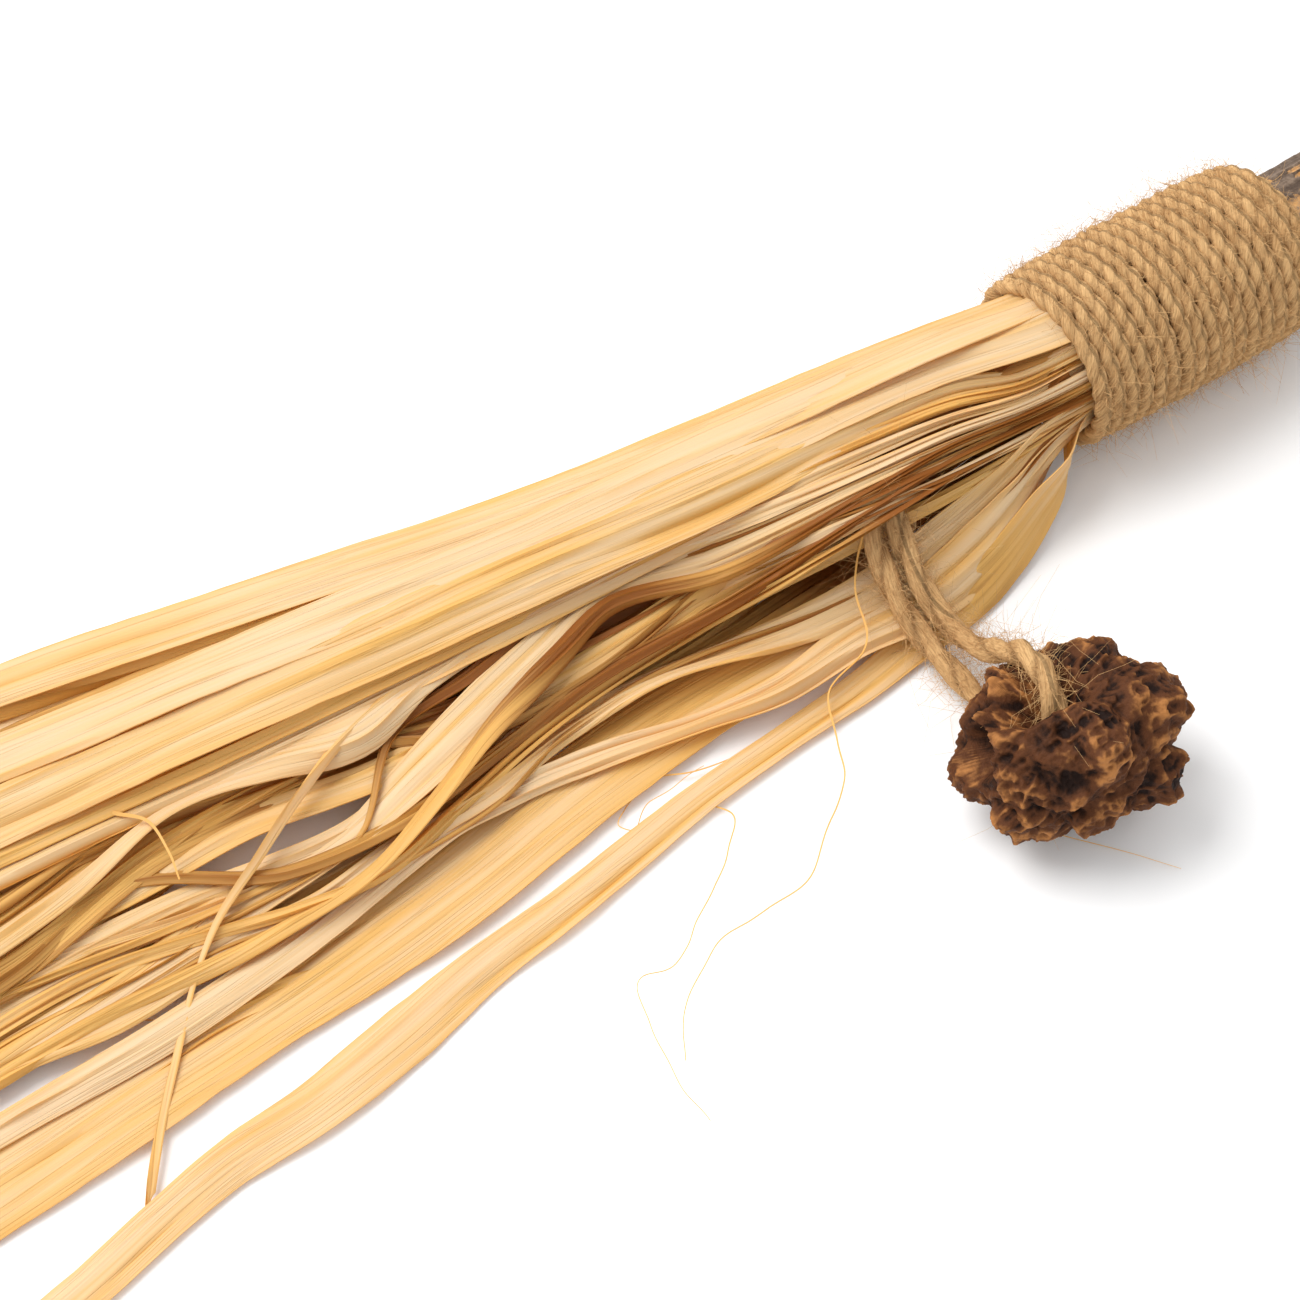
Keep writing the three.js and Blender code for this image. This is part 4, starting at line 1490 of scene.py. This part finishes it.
            # A painted glow near the table is added to the led strip's tone.
            made.append(Strip(self.shaded(route, GLOW_SPOTS), led.lie, led.tone, own))
            route[:, 2] -= PARTNER_DROP if look.sunk else 0.0
            for part, split in enumerate(led.partners, start=5 * number + self.PARTNER_NUMBERS):
                made.append(self.split_off(route, split, look.tone, part, look.sunk))
        if not made:
            route = self.laid_route(node)
            for part, split in enumerate(look.splits, start=5 * number + self.LAID_NUMBERS):
                made.append(self.split_off(route, split, look.tone, part, look.sunk))
        return made

    def build_threads(self) -> None:
        """Makes the loose hairs and threads, each a thin tube through a few places."""
        parts = []
        for number, (radius, route) in enumerate(THREADS.values()):
            path = even_path(np.array(route, float), 14 * len(route))
            along = path_lengths(path)
            wobble = Noise(self.THREAD_SEED + number)
            for axis in (0, 1):
                path[:, axis] += self.THREAD_WOBBLE * wobble.along(along / 3.5, axis + 1)
            taper = radius * mix(1.0, self.THREAD_TIP, np.linspace(0, 1, len(path)))
            parts.append(hairs(path[None], taper[None], THREAD_NUMBER + number, self.THREAD_TONE))
        self.workshop.piece("raffia_threads", Surface.joined(parts), "raffia")

    def build(self) -> None:
        """Makes every strip, one piece for each CAD strip."""
        nodes = sorted(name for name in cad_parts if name.startswith("raffia_"))
        for number, node in enumerate(nodes):
            surface = Surface.joined([strip.surface() for strip in self.strips(node, number)])
            self.workshop.piece(node.replace("raffia_", "strips_"), surface, "raffia", [node], crease=38)
        self.build_threads()


# --------------------------------------------------------------------------- fruit


@dataclass
class Fruit:
    """The dried gall: lobes round a hollow, all over wrinkles."""

    workshop: Workshop
    centre: tuple[float, float, float] = (-23.8, -35.4, 9.4)
    radii: tuple[float, float, float] = (10.9, 9.9, 9.4)
    hollow: tuple[float, float, float] = (-0.05, 0.3, 0.95)
    hollow_depth: float = 0.46
    hollow_reach: float = 0.42
    rows: int = 210
    columns: int = 400

    SEED, LOBE_SEED = 21, 5
    LOBE_SCALE, LOBE_SHIFT = 1.25, 5.0
    BODY, LOBE_RISE, LOBE_ROUNDING = 0.885, 0.20, 0.12
    RIDGES = ((0.055, 3.4, 0.0, 0.4), (0.036, 7.0, 0.4, 1.0), (0.010, 18.0, 0.3, 1.3))
    CORD_DEPTH = 0.19

    def notched(self, direction: Array, height: Array) -> Array:
        """Lowers the surface under the cord where it goes over the rim into the hollow.

        Args:
            direction: The surface's directions from the centre.
            height: The surface's height in those directions.

        Returns:
            The height, no higher than just under the nearest place on the cord.
        """
        cord = even_path(np.array(CORD_ROUTE[CORD_OVER_FRUIT], float), 14)
        from_centre = (cord - np.array(self.centre)) / np.array(self.radii)
        reach = np.linalg.norm(from_centre, axis=-1)
        angles = np.arccos(np.clip(direction @ unit(from_centre).T, -1, 1))
        nearest = np.argmin(angles, axis=-1)
        under = reach[nearest] - self.CORD_DEPTH
        near = 1 - smoothstep(np.min(angles, axis=-1), 0.14, 0.42)
        return mix(height, np.minimum(height, under), near)

    def build(self) -> None:
        """Makes the fruit.

        A point is the centre plus its direction times the radii times a height. The directions go
        round the hollow's axis, from the hollow to the underside. The height is the sum of a body, a
        dip for the hollow, rounded lobes whose edges are the borders between random cells, and ridges
        of three sizes: each of RIDGES has a height, how fine its noise is, how far that is warped,
        and how much it counts in the tone, which paints highlights on the ridges and shade in the
        folds and along the lobes' borders. The ridges' noise is read on the lobed surface.
        """
        axis = unit(np.array(self.hollow))
        across = unit(np.cross(axis, [1.0, 0.0, 0.0]))
        other = np.cross(axis, across)
        polar = np.linspace(0.004, np.pi - 0.004, self.rows)[:, None]
        turn = np.linspace(0, 2 * np.pi, self.columns, endpoint=False)[None, :]
        flat = np.cos(turn)[..., None] * across + np.sin(turn)[..., None] * other
        direction = np.cos(polar)[..., None] * axis + np.sin(polar)[..., None] * flat
        noise = Noise(self.SEED)
        warp = np.stack([noise.layered(direction * 2.0 + shift, 3) for shift in (0.0, 9.0, 17.0)], axis=-1)
        cells = direction * self.LOBE_SCALE + 0.2 * warp + self.LOBE_SHIFT
        first, second = cell_distances(cells, self.LOBE_SEED)
        lobes = smoothstep(second - first, 0.0, 0.6) * self.LOBE_RISE - self.LOBE_ROUNDING * first
        sunk = self.hollow_depth * np.exp(-((polar / self.hollow_reach) ** 2))
        height = self.notched(direction, self.BODY + lobes - sunk)
        rough = direction * height[..., None] + 0.05 * warp
        detail = np.zeros_like(height)
        for rise, fineness, warped, weight in self.RIDGES:
            ridges = rise * noise.ridged(rough * fineness + warped * warp, 2)
            height = height + ridges
            detail += weight * ridges
        points = np.array(self.centre) + direction * np.array(self.radii) * height[..., None]
        points = points + 0.5 * warp * smoothstep(polar, 0.1, 0.6)[..., None]
        points[..., 2] = np.maximum(points[..., 2] - points[..., 2].min() - 0.5, 0.0)
        # Painted highlights on the ridges and painted shade in the folds, darkest along the lobes' borders.
        low, high = np.quantile(detail, [0.02, 0.985])
        tone = np.clip((detail - low) / (high - low), 0, 1) * smoothstep(second - first, -0.10, 0.16)
        surface = Surface.rings(points[::-1], points[::-1], tone[::-1])
        self.workshop.piece("dried_fruit", surface, "dried_fruit", ["fruit"], crease=180)


# --------------------------------------------------------------------------- stick


@dataclass
class Stick:
    """The silver vine branch, with flaking bark, knots and sawn ends."""

    workshop: Workshop
    binding: Binding
    start: float = 24.0
    rows: int = 330
    columns: int = 150
    end_rows: int = 30
    knots: tuple[tuple[float, float], ...] = ((54.0, 0.8), (94.0, 0.6))
    knot_swell: float = 5.0
    knot_reach: float = 3.2
    bark_thickness: float = 0.32
    inset: float = 0.35
    bend: tuple[float, float] = (1.1, 0.45)
    rim: float = 0.25

    SEED, SAWN_SEED = 77, 78
    FLAKED = (-0.42, -0.30)

    def radius_at(self, x: Array, turn: Array) -> tuple[Array, Array]:
        """The branch's radius and how much bark is on it.

        Over a slightly fluted cylinder with two swollen knots lie plates of bark, where layered
        noise passes a level, raised by their thickness, and fine fissures along the branch.

        Args:
            x: The place along the branch.
            turn: The angle round it.

        Returns:
            The radius, and the bark from 0 to 1.
        """
        noise = Noise(self.SEED)
        swell = sum(size * np.exp(-(((x - at) / self.knot_swell) ** 2)) for at, size in self.knots)
        knot = sum(np.exp(-(((x - at) / self.knot_reach) ** 2)) for at, _ in self.knots)
        flute = 1 + 0.02 * smoothstep(x, BINDING_LENGTH, STICK_END) * np.sin(3 * turn + x / 17)
        at = np.stack([x / 9, 1.6 * np.cos(turn), 1.6 * np.sin(turn)], axis=-1)
        warp = noise.layered(at * 1.5, 3)[..., None]
        flakes = noise.layered(at * np.array([1.0, 1.5, 1.5]) + 0.5 * warp, 4, 0.6)
        bark = smoothstep(flakes, *self.FLAKED)
        fissures = noise.ridged(at * np.array([0.9, 3.2, 3.2]) + 0.25 * warp, 3, 0.6)
        bumps = 0.25 * knot * noise.layered(at * 3.5, 2)
        body = (STICK_RADIUS - self.inset + swell) * flute
        return body + bark * (self.bark_thickness + 0.13 * fissures) + 0.05 * fissures + bumps, bark

    def build(self) -> None:
        """Makes the branch: rings along its bent axis, closed by a sawn disc of rings at each end."""
        inwards = np.linspace(1, 0.002, self.end_rows)[1:]
        near, far = np.full(len(inwards), self.start), np.full(len(inwards), STICK_END)
        x = np.concatenate([near, np.linspace(self.start, STICK_END, self.rows), far])
        share = np.concatenate([inwards[::-1], np.ones(self.rows), inwards])
        turn = np.linspace(0, 2 * np.pi, self.columns, endpoint=False)
        x, share, turn = np.broadcast_arrays(x[:, None], share[:, None], turn[None, :])
        radius, bark = self.radius_at(x, turn)
        sawn = share < 0.999
        disc = np.stack([share * 9 * np.cos(turn), share * 9 * np.sin(turn), np.zeros_like(turn)], axis=-1)
        relief = 0.05 * Noise(self.SAWN_SEED).layered(disc, 3)
        rim = self.rim * smoothstep(share, 0.93, 1.0) ** 2 * sawn
        outwards = np.where(x > (self.start + STICK_END) / 2, 1.0, -1.0)
        bend = np.sin(np.pi * smoothstep(x, BINDING_LENGTH, STICK_END))
        reach = radius * share
        points = np.stack(
            [
                x + sawn * outwards * (relief - rim),
                self.bend[0] * bend + reach * np.cos(turn),
                self.binding.axis(x) + self.bend[1] * bend + reach * np.sin(turn),
            ],
            axis=-1,
        )
        points[..., 2] = np.maximum(points[..., 2], 0.0)
        grain = np.stack([x, np.where(sawn, reach, STICK_RADIUS * turn), np.where(sawn, 1.0, 0.0)], axis=-1)
        self.workshop.piece("vine_branch", Surface.rings(points, grain, bark), "bark", ["stick"], crease=50)


# --------------------------------------------------------------------------- studio


@dataclass(frozen=True)
class Studio:
    """A white table, soft light from above and behind, and a camera that looks down on the neck."""

    camera_place: tuple[float, float, float] = (-164.3, -167.6, 292.9)
    elevation: float = 55.0
    azimuth: float = -35.18
    lens: float = 102.1
    sky: float = 0.88
    lamp_power: float = 4.4
    lamp_size: float = 0.5
    lamp_place: tuple[float, float, float] = (-260.0, 320.0, 560.0)
    lamp_aim: tuple[float, float, float] = (-40.0, 0.0, 0.0)
    table_half: float = 3.0
    table_height: float = -0.0001

    def build_camera(self, layout: Layout) -> None:
        """Adds the camera."""
        data = bpy.data.cameras.new("camera")
        data.sensor_width = 36.0
        data.lens = self.lens
        data.clip_start = 0.01
        camera = bpy.data.objects.new("camera", data)
        camera.location = layout.place(self.camera_place)
        camera.rotation_euler = (math.radians(90 - self.elevation), 0, math.radians(self.azimuth))
        bpy.context.scene.collection.objects.link(camera)
        bpy.context.scene.camera = camera

    def build_light(self, layout: Layout) -> None:
        """Adds the sky and one large soft lamp."""
        world = bpy.data.worlds.new("sky")
        world.use_nodes = True
        background = world.node_tree.nodes["Background"]
        background.inputs["Color"].default_value = (1.0, 1.0, 1.0, 1.0)
        background.inputs["Strength"].default_value = self.sky
        bpy.context.scene.world = world
        bpy.context.scene.view_settings.view_transform = "Standard"
        lamp = bpy.data.lights.new("softbox", "AREA")
        lamp.shape = "RECTANGLE"
        lamp.size = self.lamp_size
        lamp.size_y = self.lamp_size
        lamp.energy = self.lamp_power
        box = bpy.data.objects.new("softbox", lamp)
        box.location = layout.place(self.lamp_place)
        aim = layout.place(self.lamp_aim) - np.array(box.location)
        flat = math.hypot(aim[0], aim[1])
        box.rotation_euler = (math.atan2(flat, -aim[2]), 0, math.atan2(aim[1], aim[0]) - math.pi / 2)
        bpy.context.scene.collection.objects.link(box)

    def build_table(self) -> None:
        """Adds the table top."""
        tree = Tree("table_top")
        shader = tree.node(
            "ShaderNodeBsdfPrincipled", None, {"Base Color": (0.93, 0.93, 0.93), "Roughness": 0.6}
        )
        mesh = bpy.data.meshes.new("table")
        signs = ((-1, -1), (1, -1), (1, 1), (-1, 1))
        corners = [(self.table_half * x, self.table_half * y, self.table_height) for x, y in signs]
        mesh.from_pydata(corners, [], [(0, 1, 2, 3)])
        mesh.materials.append(tree.finished(shader))
        table = bpy.data.objects.new("table", mesh)
        bpy.context.scene.collection.objects.link(table)


def main() -> None:
    """Builds the camera, the cord, the rest of the toy and its studio, in that order."""
    logging.basicConfig(level=logging.INFO, format="%(name)s: %(message)s")
    layout = Layout.from_frame()
    studio = Studio()
    studio.build_camera(layout)
    finishes = {
        "raffia": RaffiaFinish().material(),
        "jute": JuteFinish().material(),
        "dried_fruit": FruitFinish().material(),
        "bark": BarkFinish().material(),
    }
    workshop = Workshop(layout, finishes)
    FruitCord(workshop).build()
    binding = Binding(workshop)
    binding.build()
    Tassel(workshop, binding).build()
    Fruit(workshop).build()
    Stick(workshop, binding).build()
    studio.build_light(layout)
    studio.build_table()


if __name__ == "__main__":
    main()
